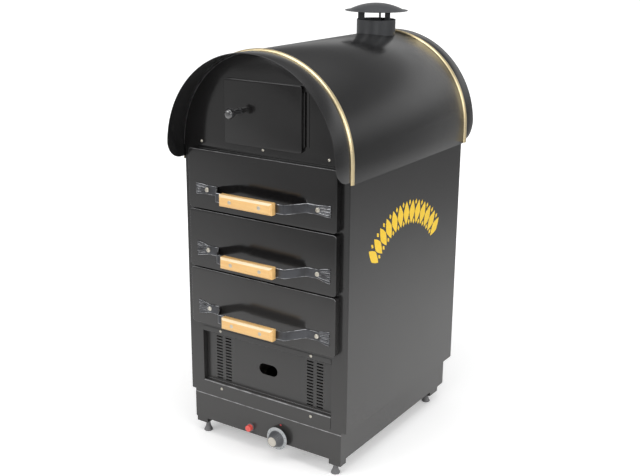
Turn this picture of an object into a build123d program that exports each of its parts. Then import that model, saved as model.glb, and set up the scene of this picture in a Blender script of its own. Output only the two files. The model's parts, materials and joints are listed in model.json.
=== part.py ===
"""Gas-fired baked potato oven: three baking drawers under a barrel hood with a warming compartment.

Millimetres, +Z up. While it is modelled, x = 0 is the middle of the body, y = 0 is its front
face with +Y going in towards the back, and z = 0 is the floor. Each piece is moved along Y on
export, so that the origin stands on the floor under the middle of the whole outline.
"""

import os
from math import atan2, cos, degrees, sin, sqrt

from build123d import *

# ---------------------------------------------------------------- driving dimensions, body
body_width = 510.0  # over the side panels
body_depth = 605.0  # front face to rear face of the casing
body_bottom = 130.0  # underside of the casing above the floor
casing_sheet = 1.5  # casing and liner plates
bend_radius = 3.0  # outside radius of the folded casing corners
front_flange_width = 46.0  # side panel returned across the front
front_lip_depth = 18.0  # the flange returned again into the oven mouth
rear_flange_width = 30.0
fit_gap = 0.4  # running or fitting gap between separate parts
screw_shank_radius = 2.0
screw_hole_radius = 2.25
screw_head_radius = 4.0
screw_head_height = 2.0
screw_length = 8.0

# ---------------------------------------------------------------- hood
hood_seat = 7.0  # arch centre above the top drawer's front
hood_sheet = 2.0
hood_skirt_drop = 44.0  # barrel cover's straight sides below the arch centre
visor_skirt_drop = 35.0  # lower edge of the visors below the arch centre
visor_overhang = 67.0  # front and rear visors stand out past the casing
visor_corner_radius = 50.0
front_bead_y = 6.0  # middle of the front bead, and the joint under it
rear_bead_offset = 14.0  # middle of the rear bead behind the rear face
bead_width = 15.0
bead_height = 4.0
bead_end_lift = 1.0  # bead's ends above the lower edge of the cover
arch_panel_gap = 0.2  # half-moon panels inside the barrel
arch_panel_drop = 5.0  # half-moon panel's lower edge below the arch centre
arch_screw_inset = 59.0  # its outer screws in from the casing's side
arch_screw_rise = 11.0

# ---------------------------------------------------------------- chimney
chimney_rear_gap = 3.0  # pipe clear of the back panel
chimney_radius = 55.0
chimney_wall = 1.5
chimney_rise = 37.0  # pipe's rim above the hood's crown
cap_gap = 25.0  # open height between the pipe's rim and the cap's brim
cap_overhang = 34.0  # brim past the pipe, all round
cap_brim = 9.0
cap_rise = 20.0
cap_sheet = 1.2
cap_leg_width = 19.0
cap_leg_sheet = 2.0
cap_leg_count = 3
cap_leg_overlap = 25.0  # how far each leg runs down inside the pipe
cap_leg_angle = -14.0  # of the first leg, degrees from +X towards +Y

# ---------------------------------------------------------------- drawers
drawer_count = 3
drawer_side_overlap = 20.0  # drawer front past the side of the oven mouth
drawer_front_height = 158.0
drawer_gap = 4.0
drawer_proud = 18.0
drawer_front_sheet = 1.5
drawer_corner_radius = 9.0
drawer_edge_radius = 1.2
drawer_access_gap = 14.0  # lowest drawer above the access panel
drawer_seat_gap = 0.5  # drawer front's rim off the face frame
tray_side_gap = 13.0  # tray in from the side of the oven mouth
tray_head_gap = 24.0  # tray's rim below the top edge of its front
tray_lift = 14.0  # tray floor above the bottom edge of its front
tray_rear_gap = 36.0
tray_sheet = 1.5
runner_leg = 22.0
runner_sheet = 2.0
runner_web_height = 20.0
runner_rear_gap = 6.0
rail_half_height = 8.0
rail_clearance = 1.0

# ---------------------------------------------------------------- handles
handle_heights = (54.0, 52.0, 49.0)  # handle centre above the bottom edge of each front
handle_shift = 5.0  # handles are drilled a little right of the middle
strap_width = 24.0
strap_sheet = 3.0
strap_standoff = 49.0
strap_end_inset = 22.5  # pad's end in from the side of the drawer front
pad_length = 67.5
arm_run = 34.0  # sideways run of each slanted arm
strap_corner_radius = 9.0
tine_length = 26.5
tine_slit = 1.6
tine_count = 4
pad_end_half_plain = 14.5
pad_end_half_fanned = 19.0
bolt_inset = 35.0  # bolt from the pad's end
bolt_radius = 3.0
bolt_head_radius = 6.5
bolt_head_height = 3.0
bolt_length = 8.0
grip_end_gap = 24.0  # grip's end from the strap's bend
grip_height = 31.0
grip_thickness = 20.0
grip_chamfer = 5.0
grip_screw_inset = 36.0
grip_screw_radius = 2.0
grip_screw_head_radius = 5.0
grip_screw_head_height = 1.2

# ---------------------------------------------------------------- burner access panel
access_side_gap = 1.0
access_floor_gap = 3.0  # panel above the underside of the casing
access_height = 195.0
recess_top_flange = 14.0
recess_bottom_flange = 32.0
recess_depth = 15.0
slot_width = 20.0
slot_height = 4.0
slot_rows = 16
slot_column_inset = (74.0, 43.5)  # slot columns in from the panel's side
slot_top_gap = 5.0
slot_bottom_gap = 8.5
port_length = 60.0
port_height = 31.0
port_rise = 75.0  # port's middle above the floor of the recess
access_screw_inset = 61.0
access_screw_top_gap = 5.0
access_screw_bottom_gap = 19.0

# ---------------------------------------------------------------- base, plinth and feet
plinth_inset = 14.0
plinth_rear_inset = 21.0
plinth_top_gap = 7.0  # skirt of the base plate seen over the plinth
plinth_height = 77.0
plinth_sheet = 2.0
control_panel_proud = 1.0
bracket_length_x = 36.0
front_bracket_length = 28.0
rear_bracket_length = 48.0
rear_bracket_inset = 54.0
bracket_drop = 15.0  # bracket's foot below the plinth
bracket_height = 53.0
bracket_sheet = 3.0
foot_inset = 27.0  # foot in from the side of the plinth
front_foot_y = 18.0
foot_radius = 12.5
foot_rim = 3.0
foot_cone_height = 16.0
foot_neck_radius = 7.0
foot_stem_radius = 6.0
foot_stem_reach = 31.0  # stem above the underside of its bracket
foot_nut_radius = 9.5
foot_nut_height = 8.0

# ---------------------------------------------------------------- controls
dial_x = 49.0
control_rise = 18.5  # dial and button above the plinth's lower edge
dial_skirt_radius = 32.0
dial_skirt_front = 17.0  # all four in front of the casing face
dial_skirt_sheet = 2.5
dial_grip_front = 38.5
dial_hub_back = 4.0
dial_grip_base_radius = 23.5
dial_grip_top_radius = 15.0
dial_hub_radius = 12.0
dial_cap_inset = 2.0  # disc in from the rim of the dial's grip
dial_cap_height = 1.5
spindle_radius = 3.0
spindle_front = 33.0
spindle_back = 20.0
shaft_clearance = 0.05
piezo_x = -48.5
piezo_button_radius = 9.0
piezo_button_front = 17.0
piezo_button_back = 6.0
piezo_travel = 5.0
piezo_bezel_radius = 11.0
piezo_bezel_height = 3.0
piezo_barrel_radius = 10.5
piezo_barrel_length = 16.0
piezo_tail_radius = 7.0
piezo_tail_end = 45.0
valve_width = 40.0
valve_height = 30.0
valve_front = 8.0
valve_back = 60.0

# ---------------------------------------------------------------- oven interior
liner_sheet = 1.2
liner_side_step = 3.0  # side liners out from the mouth's edge, inwards
liner_rear_gap = 49.0  # rear liner in from the casing's back
roof_liner_drop = 5.0
baffle_drop = 42.0  # baffle below the lowest drawer
baffle_rear_gap = 56.0
baffle_slot_width = 18.0
baffle_slot_length = 100.0
baffle_slot_inset = 24.0
baffle_slot_margin = 60.0  # end slots from the baffle's ends
baffle_slot_count = 3
insulation_gap = 0.2
offtake_half_width = 60.0
offtake_height = 24.0
warmer_half_width = 110.0
warmer_lift = 18.0  # compartment's floor above the arch centre
warmer_height = 164.0
warmer_rear_gap = 54.0  # clear of the flue offtake
warmer_sheet = 1.2
mouth_side_step = 4.0
mouth_end_step = 8.0

# ---------------------------------------------------------------- warming compartment door
door_side_overlap = 3.5  # door past the compartment's side at its free edge
door_hinge_overlap = 12.0  # and at its hinge
door_depth = 9.5
door_sheet = 1.2
door_corner_radius = 8.0
door_edge_radius = 1.0
door_seat_gap = 0.4
hinge_gap = 4.5  # hinge axis beyond the door's edge
hinge_knuckle_radius = 3.0
hinge_knuckle_count = 7
hinge_end_gap = 16.0
hinge_pin_radius = 1.5
hinge_leaf_sheet = 1.2
hinge_leaf_reach = 12.0
knuckle_gap = 0.4
knob_inset = 49.5  # knob in from the door's free edge
knob_rise = 85.0
knob_length = 51.0
knob_base_radius = 10.0
knob_neck_radius = 7.0
knob_head_radius = 13.5
magnet_width = 7.5
magnet_height = 20.0

# ---------------------------------------------------------------- burners and gas
burner_x = 90.0
burner_rise = 68.5  # burner's axis above the base plate
burner_radius = 19.0
burner_wall = 1.5
burner_front_y = 80.0
burner_rear_gap = 56.0
mixing_tube_radius = 14.0
mixing_tube_reach = 18.0
burner_port_radius = 2.0
burner_port_pitch = 20.0
burner_leg_sheet = 3.0
burner_leg_half_width = 14.0
burner_leg_inset = (30.0, 40.0)  # legs in from the bar's front and rear ends
manifold_y = 40.0
manifold_radius = 9.0
manifold_overhang = 12.0
spud_radius = 4.0
riser_radius = 6.0
pipe_radius = 6.0
pipe_bore_radius = 4.5
inlet_radius = 10.48
inlet_bore_radius = 7.0
inlet_thread_length = 16.0
inlet_thread_gap = 0.6  # thread starts clear of the plinth's back
inlet_neck_radius = 9.2
inlet_hexagon_across = 27.0
inlet_hexagon_length = 8.0
inlet_socket_depth = 5.0
capillary_radius = 1.5
capillary_offset = 15.0  # capillary beside the dial's axis
capillary_bend = 20.0
bulb_radius = 4.0
bulb_rise = 170.0  # bulb's middle above the baffle
bulb_length = 90.0
electrode_offset = 27.0  # electrode beside its burner's axis
electrode_inset = 30.0
electrode_radius = 4.5
electrode_rise = 5.0  # ceramic above the burner's axis
electrode_tail = 6.0  # ceramic below the base plate
electrode_tip_radius = 1.2
electrode_tip_length = 23.0
lead_radius = 2.5
lead_drop = 21.0  # lead below the plinth's upper edge
lead_bend = 12.0
grommet_gap = 0.5

# ---------------------------------------------------------------- worked out: across the body
half_width = body_width / 2
mouth_side = half_width - front_flange_width  # inner edge of the front flanges
hood_outer = half_width + hood_sheet
hood_inner = half_width
drawer_front_width = 2 * (mouth_side + drawer_side_overlap)
tray_width = 2 * (mouth_side - tray_side_gap)
liner_half_width = mouth_side - liner_side_step
baffle_slot_x = liner_half_width - baffle_slot_inset
access_half_width = mouth_side - access_side_gap
access_screw_x = access_half_width - access_screw_inset
slot_column_x = [access_half_width - inset for inset in slot_column_inset]
arch_screw_x = half_width - arch_screw_inset
plinth_half = half_width - plinth_inset
foot_x = plinth_half - foot_inset
pad_end_x = drawer_front_width / 2 - strap_end_inset
pad_start_x = pad_end_x - pad_length
tine_start_x = pad_end_x - tine_length
bolt_x = pad_end_x - bolt_inset
strap_bend_x = pad_start_x - arm_run  # outer ends of the straight middle
grip_length = 2 * (strap_bend_x - grip_end_gap)
grip_screw_x = grip_length / 2 - grip_screw_inset
mouth_half_width = warmer_half_width - mouth_side_step
door_free_x = -warmer_half_width - door_side_overlap
door_hinged_x = warmer_half_width + door_hinge_overlap
hinge_x = door_hinged_x + hinge_gap
knob_x = door_free_x + knob_inset
electrode_x = burner_x + electrode_offset
capillary_x = dial_x + capillary_offset

# ---------------------------------------------------------------- worked out: up from the floor
floor_top = body_bottom + casing_sheet
plinth_top = body_bottom - plinth_top_gap
plinth_bottom = plinth_top - plinth_height
bracket_underside = plinth_bottom - bracket_drop
bracket_top = bracket_underside + bracket_height
foot_stem_top = bracket_underside + foot_stem_reach
control_height = plinth_bottom + control_rise
lead_height = plinth_top - lead_drop
access_bottom = body_bottom + access_floor_gap
access_top = access_bottom + access_height
recess_top = access_top - recess_top_flange
recess_bottom = access_bottom + recess_bottom_flange
slot_top = recess_top - slot_top_gap
slot_pitch = (slot_top - slot_height - recess_bottom - slot_bottom_gap) / (slot_rows - 1)
port_centre_height = recess_bottom + port_rise
access_screw_top = access_top - access_screw_top_gap
access_screw_bottom = access_bottom + access_screw_bottom_gap
lowest_drawer_bottom = access_top + drawer_access_gap
drawer_pitch = drawer_front_height + drawer_gap
tray_height = drawer_front_height - tray_lift - tray_head_gap
burner_height = floor_top + burner_rise
electrode_top = burner_height + electrode_rise
electrode_tip_top = electrode_top + electrode_tip_length
baffle_height = lowest_drawer_bottom - baffle_drop
bulb_height = baffle_height + bulb_rise
arch_centre_height = lowest_drawer_bottom + drawer_count * drawer_pitch - drawer_gap + hood_seat
hood_skirt_height = arch_centre_height - hood_skirt_drop
visor_height = arch_centre_height - visor_skirt_drop
bead_end_height = hood_skirt_height + bead_end_lift
arch_panel_bottom = arch_centre_height - arch_panel_drop
arch_screw_height = arch_centre_height + arch_screw_rise
roof_liner_height = arch_centre_height - roof_liner_drop
offtake_top = roof_liner_height + liner_sheet + offtake_height
warmer_floor = arch_centre_height + warmer_lift
warmer_top = warmer_floor + warmer_height
mouth_bottom = warmer_floor + mouth_end_step
mouth_top = warmer_top - mouth_end_step
door_bottom = warmer_floor
door_top = warmer_top
hinge_length = door_top - door_bottom - 2 * hinge_end_gap
hinge_bottom = door_bottom + hinge_end_gap
knob_height = door_bottom + knob_rise
chimney_top = arch_centre_height + hood_outer + chimney_rise
cap_brim_height = chimney_top + cap_gap
cap_radius = chimney_radius + cap_overhang
dial_cap_radius = dial_grip_top_radius - dial_cap_inset

# ---------------------------------------------------------------- worked out: front to back
rear_bead_y = body_depth + rear_bead_offset
visor_front_y = -visor_overhang
visor_rear_y = body_depth + visor_overhang
panel_face_y = -casing_sheet  # outer face of the half-moon panel
plinth_rear_y = body_depth - plinth_rear_inset
rear_bracket_y = plinth_rear_y - rear_bracket_inset
chimney_y = body_depth - 2 * casing_sheet - chimney_rear_gap - chimney_radius
offtake_front_y = chimney_y - offtake_half_width
warmer_end_y = offtake_front_y - warmer_rear_gap
liner_rear_y = body_depth - liner_rear_gap
tray_end_y = liner_rear_y - tray_rear_gap
baffle_end_y = liner_rear_y - baffle_rear_gap
baffle_slot_first_y = baffle_slot_margin + baffle_slot_length / 2
baffle_slot_last_y = baffle_end_y - baffle_slot_first_y
baffle_slot_step = (baffle_slot_last_y - baffle_slot_first_y) / (baffle_slot_count - 1)
baffle_slot_y = [baffle_slot_first_y + row * baffle_slot_step for row in range(baffle_slot_count)]
burner_end_y = liner_rear_y - burner_rear_gap
burner_leg_y = (burner_front_y + burner_leg_inset[0], burner_end_y - burner_leg_inset[1])
mixing_tube_front_y = burner_front_y - mixing_tube_reach
electrode_y = burner_front_y + electrode_inset
bulb_y = liner_rear_y - bulb_radius - fit_gap
strap_back_y = -drawer_proud - strap_standoff
strap_front_y = strap_back_y - strap_sheet
grip_front_y = strap_front_y - grip_thickness
door_front_y = panel_face_y - door_depth
hinge_y = panel_face_y - hinge_knuckle_radius - fit_gap
control_back_y = plinth_sheet - control_panel_proud
inlet_front_y = plinth_rear_y - plinth_sheet - inlet_hexagon_length
inlet_thread_y = plinth_rear_y + inlet_thread_gap
pipe_end_y = inlet_front_y + inlet_socket_depth
outline_front_y = grip_front_y - grip_screw_head_height
outline_rear_y = visor_rear_y
origin_y = (outline_front_y + outline_rear_y) / 2


# ---------------------------------------------------------------- small helpers
def block(x0, x1, y0, y1, z0, z1):
    """A box between two corners."""
    centre = Pos((x0 + x1) / 2, (y0 + y1) / 2, (z0 + z1) / 2)
    return centre * Box(x1 - x0, y1 - y0, z1 - z0)


def rod_x(y, z, radius, x0, x1):
    """A cylinder along X."""
    return Pos((x0 + x1) / 2, y, z) * Rot(0, 90, 0) * Cylinder(radius, x1 - x0)


def rod_y(x, z, radius, y0, y1):
    """A cylinder along Y."""
    return Pos(x, (y0 + y1) / 2, z) * Rot(90, 0, 0) * Cylinder(radius, y1 - y0)


def rod_z(x, y, radius, z0, z1):
    """A cylinder along Z."""
    return Pos(x, y, (z0 + z1) / 2) * Cylinder(radius, z1 - z0)


def cone_y(x, z, radius0, radius1, y0, y1):
    """A cone along Y with radius0 at y0 and radius1 at y1."""
    return Pos(x, (y0 + y1) / 2, z) * Rot(-90, 0, 0) * Cone(radius0, radius1, y1 - y0)


def cone_z(x, y, radius0, radius1, z0, z1):
    """A cone along Z with radius0 at z0 and radius1 at z1."""
    return Pos(x, y, (z0 + z1) / 2) * Cone(radius0, radius1, z1 - z0)


def joined(pieces):
    """One solid from pieces that touch or overlap."""
    result = pieces[0]
    for piece in pieces[1:]:
        result = result + piece
    return result


def group(pieces):
    """Separate solids kept side by side in one node."""
    return Compound([solid for piece in pieces for solid in piece.solids()])


def mirrored_x(piece):
    """The same piece on the other side of the body."""
    return piece.mirror(Plane.YZ)


def arch_block(radius, low, y0, y1):
    """A solid barrel: a half disc over a rectangle that reaches down to low."""
    disc = rod_y(0, arch_centre_height, radius, y0, y1)
    upper = block(-radius, radius, y0, y1, arch_centre_height, arch_centre_height + radius)
    return (disc & upper) + block(-radius, radius, y0, y1, low, arch_centre_height)


def arch_sheet(low, y0, y1):
    """The hood's bent sheet between two stations along Y."""
    outer = arch_block(hood_outer, low, y0, y1)
    return outer - arch_block(hood_inner, low - 1, y0 - 1, y1 + 1)


def pan_head_y(x, y, z, head_radius, head_height, shank_radius, length):
    """A pan-head screw that goes in along +Y, its head seated at y."""
    head = rod_y(x, z, head_radius, y - head_height, y)
    front_edge = head.edges().filter_by(GeomType.CIRCLE).sort_by(Axis.Y)[0]
    head = fillet(front_edge, head_height * 0.6)
    return head + rod_y(x, z, shank_radius, y, y + length)


def face_screw(x, y, z):
    """A casing screw seen from the front."""
    return pan_head_y(x, y, z, screw_head_radius, screw_head_height, screw_shank_radius, screw_length)


def screw_hole(x, z, y0, y1):
    """The hole for a casing screw."""
    return rod_y(x, z, screw_hole_radius, y0, y1)


def drawer_bottom(index):
    """Lower edge of a drawer's front; drawer 1 is the top one."""
    return lowest_drawer_bottom + (drawer_count - 1 - index) * drawer_pitch


# ---------------------------------------------------------------- casing
def side_panel():
    """Right side panel: one sheet folded round the front mouth and the back."""
    top = arch_centre_height
    outer = block(mouth_side, half_width, 0, body_depth, body_bottom, top)
    corners = outer.edges().filter_by(Axis.Z).group_by(Axis.X)[-1]
    outer = fillet(corners, bend_radius)
    inner = block(
        mouth_side - 1, half_width - casing_sheet, casing_sheet, body_depth - casing_sheet, body_bottom - 1, top + 1
    )
    corners = inner.edges().filter_by(Axis.Z).group_by(Axis.X)[-1]
    inner = fillet(corners, bend_radius - casing_sheet)
    panel = outer - inner
    panel -= block(
        mouth_side - 1,
        half_width - rear_flange_width,
        body_depth - casing_sheet - 1,
        body_depth + 1,
        body_bottom - 1,
        top + 1,
    )
    panel += block(mouth_side, mouth_side + casing_sheet, casing_sheet, front_lip_depth, floor_top, top)
    for x, z in rear_screws():
        if x > 0:
            panel -= screw_hole(x, z, body_depth - casing_sheet - 1, body_depth + 1)
    return panel


def rear_screws():
    """Places of the screws that hold the back panel."""
    x = half_width - rear_flange_width / 2
    first = body_bottom + 50
    last = hood_skirt_height - 27
    rows = 4
    heights = [first + row * (last - first) / (rows - 1) for row in range(rows)]
    return [(side * x, z) for side in (-1, 1) for z in heights]


def back_panel():
    """Back of the casing with the arched back of the hood in one sheet."""
    y1 = body_depth - casing_sheet
    y0 = y1 - casing_sheet
    edge = half_width - bend_radius
    panel = block(-edge, edge, y0, y1, floor_top, arch_centre_height)
    radius = hood_inner - arch_panel_gap
    arch = rod_y(0, arch_centre_height, radius, y0, y1)
    panel += arch & block(-radius, radius, y0, y1, arch_centre_height, arch_centre_height + radius)
    for x, z in rear_screws():
        panel -= screw_hole(x, z, y0 - 1, y1 + 1)
    return panel


def rail_spans():
    """Height ranges of the face rails, from the top one down."""
    middle_of_gap = [drawer_bottom(index) - drawer_gap / 2 for index in range(drawer_count - 1)]
    top = drawer_bottom(0) + drawer_front_height - rail_half_height - drawer_gap
    spans = [(top, warmer_floor - rail_clearance)]
    spans += [(z - rail_half_height, z + rail_half_height) for z in middle_of_gap]
    spans.append((recess_top, drawer_bottom(drawer_count - 1) + rail_half_height + drawer_gap / 2))
    spans.append((body_bottom, recess_bottom))
    return spans


def front_screws():
    """Places of the screws in the front, as (x, face y, z)."""
    places = [(x, panel_face_y, arch_screw_height) for x in (-arch_screw_x, 0, arch_screw_x)]
    for z in (access_screw_top, access_screw_bottom):
        places += [(side * access_screw_x, panel_face_y, z) for side in (-1, 1)]
    return places


def front_rails():
    """Flat bars across the front mouth, one over, between and under the drawers."""
    rails = []
    for low, high in rail_spans():
        rail = block(-mouth_side, mouth_side, 0, casing_sheet, low, high)
        for x, _, z in front_screws():
            if low < z < high:
                rail -= screw_hole(x, z, -1, casing_sheet + 1)
        rails.append(rail)
    return group(rails)


def arch_panel():
    """Half-moon front panel with the mouth of the warming compartment."""
    radius = hood_inner - arch_panel_gap
    panel = arch_block(radius, arch_panel_bottom, panel_face_y, 0)
    mouth = block(-mouth_half_width, mouth_half_width, panel_face_y - 1, 1, mouth_bottom, mouth_top)
    mouth = fillet(mouth.edges().filter_by(Axis.Y), door_corner_radius / 2)
    panel -= mouth
    for x in (-arch_screw_x, 0, arch_screw_x):
        panel -= screw_hole(x, arch_screw_height, panel_face_y - 1, 1)
    return panel


def hood_cover():
    """Barrel cover between the two beads, with the hole for the chimney."""
    cover = arch_sheet(hood_skirt_height, front_bead_y, rear_bead_y)
    top = arch_centre_height + hood_outer
    return cover - rod_z(0, chimney_y, chimney_radius + arch_panel_gap, arch_centre_height, top + 10)


def visor(free_edge_y, joint_y):
    """An overhanging end of the hood with rounded lower corners at its free edge."""
    y0, y1 = min(free_edge_y, joint_y), max(free_edge_y, joint_y)
    sheet = arch_sheet(visor_height, y0, y1)
    inward = 1 if free_edge_y < joint_y else -1
    corner_y = free_edge_y + inward * visor_corner_radius
    corner_z = visor_height + visor_corner_radius
    reach = hood_outer + 5
    y_low, y_high = sorted((free_edge_y - inward, corner_y))
    cutter = block(-reach, reach, y_low, y_high, visor_height - 1, corner_z)
    cutter -= rod_x(corner_y, corner_z, visor_corner_radius, -reach - 1, reach + 1)
    return sheet - cutter


def bead(middle_y):
    """Half-round trim bent over the hood's joint."""
    half = bead_width / 2
    start = (hood_outer, middle_y - half)
    crown = (hood_outer + bead_height, middle_y)
    end = (hood_outer, middle_y + half)
    outline = ThreePointArc(start, crown, end) + Line(end, start)
    profile = Pos(0, 0, arch_centre_height) * make_face(outline)
    spine = Axis((0, 0, arch_centre_height), (0, 1, 0))
    arch = revolve(profile, spine, -180)
    drop = arch_centre_height - bead_end_height
    leg = extrude(profile, drop, dir=(0, 0, -1))
    return arch + leg + mirrored_x(leg)


def hood_beads():
    return group([bead(front_bead_y), bead(rear_bead_y)])


# ---------------------------------------------------------------- chimney
def chimney_pipe():
    """Flue pipe from the oven roof through the hood."""
    outer = rod_z(0, chimney_y, chimney_radius, offtake_top, chimney_top)
    return outer - rod_z(0, chimney_y, chimney_radius - chimney_wall, offtake_top - 1, chimney_top + 1)


def dome_region(rise, brim_radius, drop):
    """Solid under a shallow dome with a flat brim at height 0, down to -drop."""
    chord = cap_radius - cap_brim
    sphere = (chord**2 + rise**2) / (2 * rise)
    half_angle = atan2(chord, sphere - rise) / 2
    middle = (sphere * sin(half_angle), rise - sphere * (1 - cos(half_angle)))
    with BuildSketch(Plane.XZ) as region:
        with BuildLine():
            ThreePointArc((0, rise), middle, (chord, 0))
            Polyline((chord, 0), (brim_radius, 0), (brim_radius, -drop), (0, -drop), (0, rise))
        make_face()
    return Pos(0, chimney_y, cap_brim_height) * revolve(region.sketch, Axis.Z, 360)


def rain_cap():
    """Shallow domed cap with a flat brim."""
    return dome_region(cap_rise, cap_radius, cap_sheet) - Pos(0, 0, -cap_sheet) * dome_region(
        cap_rise, cap_radius + 5, cap_sheet
    )


def rain_cap_legs():
    """Flat legs that stand edge-on inside the pipe's rim and carry the cap."""
    under = Pos(0, 0, -cap_sheet - insulation_gap) * dome_region(cap_rise, cap_radius, cap_gap + cap_leg_overlap + 10)
    outer = chimney_radius - chimney_wall - insulation_gap
    plate = block(
        outer - cap_leg_width,
        outer,
        -cap_leg_sheet / 2,
        cap_leg_sheet / 2,
        chimney_top - cap_leg_overlap,
        cap_brim_height + cap_rise,
    )
    legs = []
    for number in range(cap_leg_count):
        angle = cap_leg_angle + number * 360 / cap_leg_count
        legs.append((Pos(0, chimney_y, 0) * Rot(0, 0, angle) * plate) & under)
    return group(legs)


# ---------------------------------------------------------------- burner access panel
def louvre_slots():
    """All cuts of the four louvre columns."""
    y0, y1 = recess_depth - 1, recess_depth + casing_sheet + 1
    slots = []
    for x in slot_column_x:
        for side in (-1, 1):
            for row in range(slot_rows):
                top = slot_top - row * slot_pitch
                middle = side * x
                slots.append(
                    block(middle - slot_width / 2, middle + slot_width / 2, y0, y1, top - slot_height, top)
                )
    return slots


def burner_access_panel():
    """Screwed-on panel: two flanges with a recessed louvred web between them."""
    half = access_half_width
    back = recess_depth + casing_sheet
    panel = joined(
        [
            block(-half, half, panel_face_y, 0, recess_top - casing_sheet, access_top),
            block(-half, half, panel_face_y, back, recess_top - casing_sheet, recess_top),
            block(-half, half, recess_depth, back, recess_bottom, recess_top),
            block(-half, half, panel_face_y, back, recess_bottom, recess_bottom + casing_sheet),
            block(-half, half, panel_face_y, 0, access_bottom, recess_bottom + casing_sheet),
        ]
    )
    panel -= louvre_slots()
    end = port_length / 2 - port_height / 2
    y0, y1 = recess_depth - 1, back + 1
    low, high = port_centre_height - port_height / 2, port_centre_height + port_height / 2
    port = joined(
        [
            block(-end, end, y0, y1, low, high),
            rod_y(-end, port_centre_height, port_height / 2, y0, y1),
            rod_y(end, port_centre_height, port_height / 2, y0, y1),
        ]
    )
    panel -= port
    for z in (access_screw_top, access_screw_bottom):
        for side in (-1, 1):
            panel -= screw_hole(side * access_screw_x, z, panel_face_y - 1, 1)
    return panel


def case_screws():
    """Pan-head screws of the front panels and of the back panel."""
    screws = [face_screw(x, y, z) for x, y, z in front_screws()]
    for x, z in rear_screws():
        turned = Pos(x, body_depth, z) * Rot(0, 0, 180) * face_screw(0, 0, 0)
        screws.append(turned)
    return group(screws)


# ---------------------------------------------------------------- base and plinth
def base_holes():
    """Holes in the base plate for the gas riser, the capillary and the spark electrode."""
    z0, z1 = body_bottom - 1, floor_top + 1
    return [
        rod_z(dial_x, manifold_y, riser_radius + grommet_gap, z0, z1),
        rod_z(capillary_x, bulb_y, capillary_radius + grommet_gap, z0, z1),
        rod_z(electrode_x, electrode_y, electrode_radius + shaft_clearance, z0, z1),
    ]


def base_tray():
    """Floor of the casing with a narrow skirt that stands on the plinth."""
    edge = half_width - casing_sheet
    plate = block(-edge, edge, casing_sheet, body_depth - casing_sheet, body_bottom, floor_top)
    plate = fillet(plate.edges().filter_by(Axis.Z), bend_radius - casing_sheet)
    for hole in base_holes():
        plate -= hole
    skirt = block(-plinth_half, plinth_half, 0, plinth_rear_y, plinth_top, body_bottom)
    skirt -= block(
        -plinth_half + plinth_sheet,
        plinth_half - plinth_sheet,
        plinth_sheet,
        plinth_rear_y - plinth_sheet,
        plinth_top - 1,
        body_bottom + 1,
    )
    return plate + skirt


def control_panel():
    """Front of the plinth, which carries the dial and the spark button."""
    panel = block(-plinth_half, plinth_half, -control_panel_proud, control_back_y, plinth_bottom, plinth_top)
    top_edge = panel.edges().filter_by(Axis.X).group_by(Axis.Z)[-1].sort_by(Axis.Y)[0]
    panel = fillet(top_edge, control_panel_proud)
    y0, y1 = -control_panel_proud - 1, control_back_y + 1
    panel -= rod_y(dial_x, control_height, spindle_radius + 2, y0, y1)
    return panel - rod_y(piezo_x, control_height, piezo_barrel_radius + shaft_clearance, y0, y1)


def plinth_surround():
    """Sides and back of the plinth, folded from one sheet."""
    outer = block(-plinth_half, plinth_half, control_back_y, plinth_rear_y, plinth_bottom, plinth_top)
    inner = block(
        -plinth_half + plinth_sheet,
        plinth_half - plinth_sheet,
        control_back_y - 1,
        plinth_rear_y - plinth_sheet,
        plinth_bottom - 1,
        plinth_top + 1,
    )
    hole = rod_y(dial_x, control_height, inlet_radius + grommet_gap, plinth_rear_y - 10, plinth_rear_y + 1)
    return outer - inner - hole


def foot_places():
    """(x, y) of the four feet."""
    return [(side * foot_x, y) for side in (-1, 1) for y in (front_foot_y, rear_bracket_y)]


def corner_bracket(y0, y1):
    """Right bracket inside the plinth, with a welded nut for its foot."""
    outer = plinth_half - plinth_sheet
    inner = outer - bracket_length_x
    y = front_foot_y if y0 == control_back_y else rear_bracket_y
    plate_top = bracket_underside + bracket_sheet
    bracket = block(inner, outer, y0, y1, bracket_underside, plate_top)
    bracket += block(outer - bracket_sheet, outer, y0, y1, bracket_underside, bracket_top)
    if y0 == control_back_y:
        bracket += block(inner, outer, y0, y0 + bracket_sheet, bracket_underside, bracket_top)
    nut_top = plate_top + foot_nut_height
    bracket += rod_z(foot_x, y, foot_nut_radius, plate_top, nut_top)
    return bracket - rod_z(foot_x, y, foot_stem_radius + shaft_clearance, bracket_underside - 1, nut_top + 1)


def corner_brackets():
    front = corner_bracket(control_back_y, control_back_y + front_bracket_length)
    rear = corner_bracket(rear_bracket_y - rear_bracket_length / 2, rear_bracket_y + rear_bracket_length / 2)
    return group([front, rear, mirrored_x(front), mirrored_x(rear)])


def levelling_feet():
    """Bell-shaped feet on threaded stems."""
    feet = []
    for x, y in foot_places():
        foot = joined(
            [
                rod_z(x, y, foot_radius, 0, foot_rim),
                cone_z(x, y, foot_radius, foot_neck_radius, foot_rim, foot_cone_height),
                rod_z(x, y, foot_stem_radius, foot_cone_height, foot_stem_top),
            ]
        )
        feet.append(foot)
    return group(feet)


# ---------------------------------------------------------------- oven interior
def oven_wall_liners():
    """Two side liners and the rear liner, which stand on the base plate."""
    side = block(
        liner_half_width, liner_half_width + liner_sheet, front_lip_depth, liner_rear_y, floor_top, roof_liner_height
    )
    reach = liner_half_width + liner_sheet
    rear = block(-reach, reach, liner_rear_y, liner_rear_y + liner_sheet, floor_top, roof_liner_height)
    return group([side, mirrored_x(side), rear])


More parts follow.
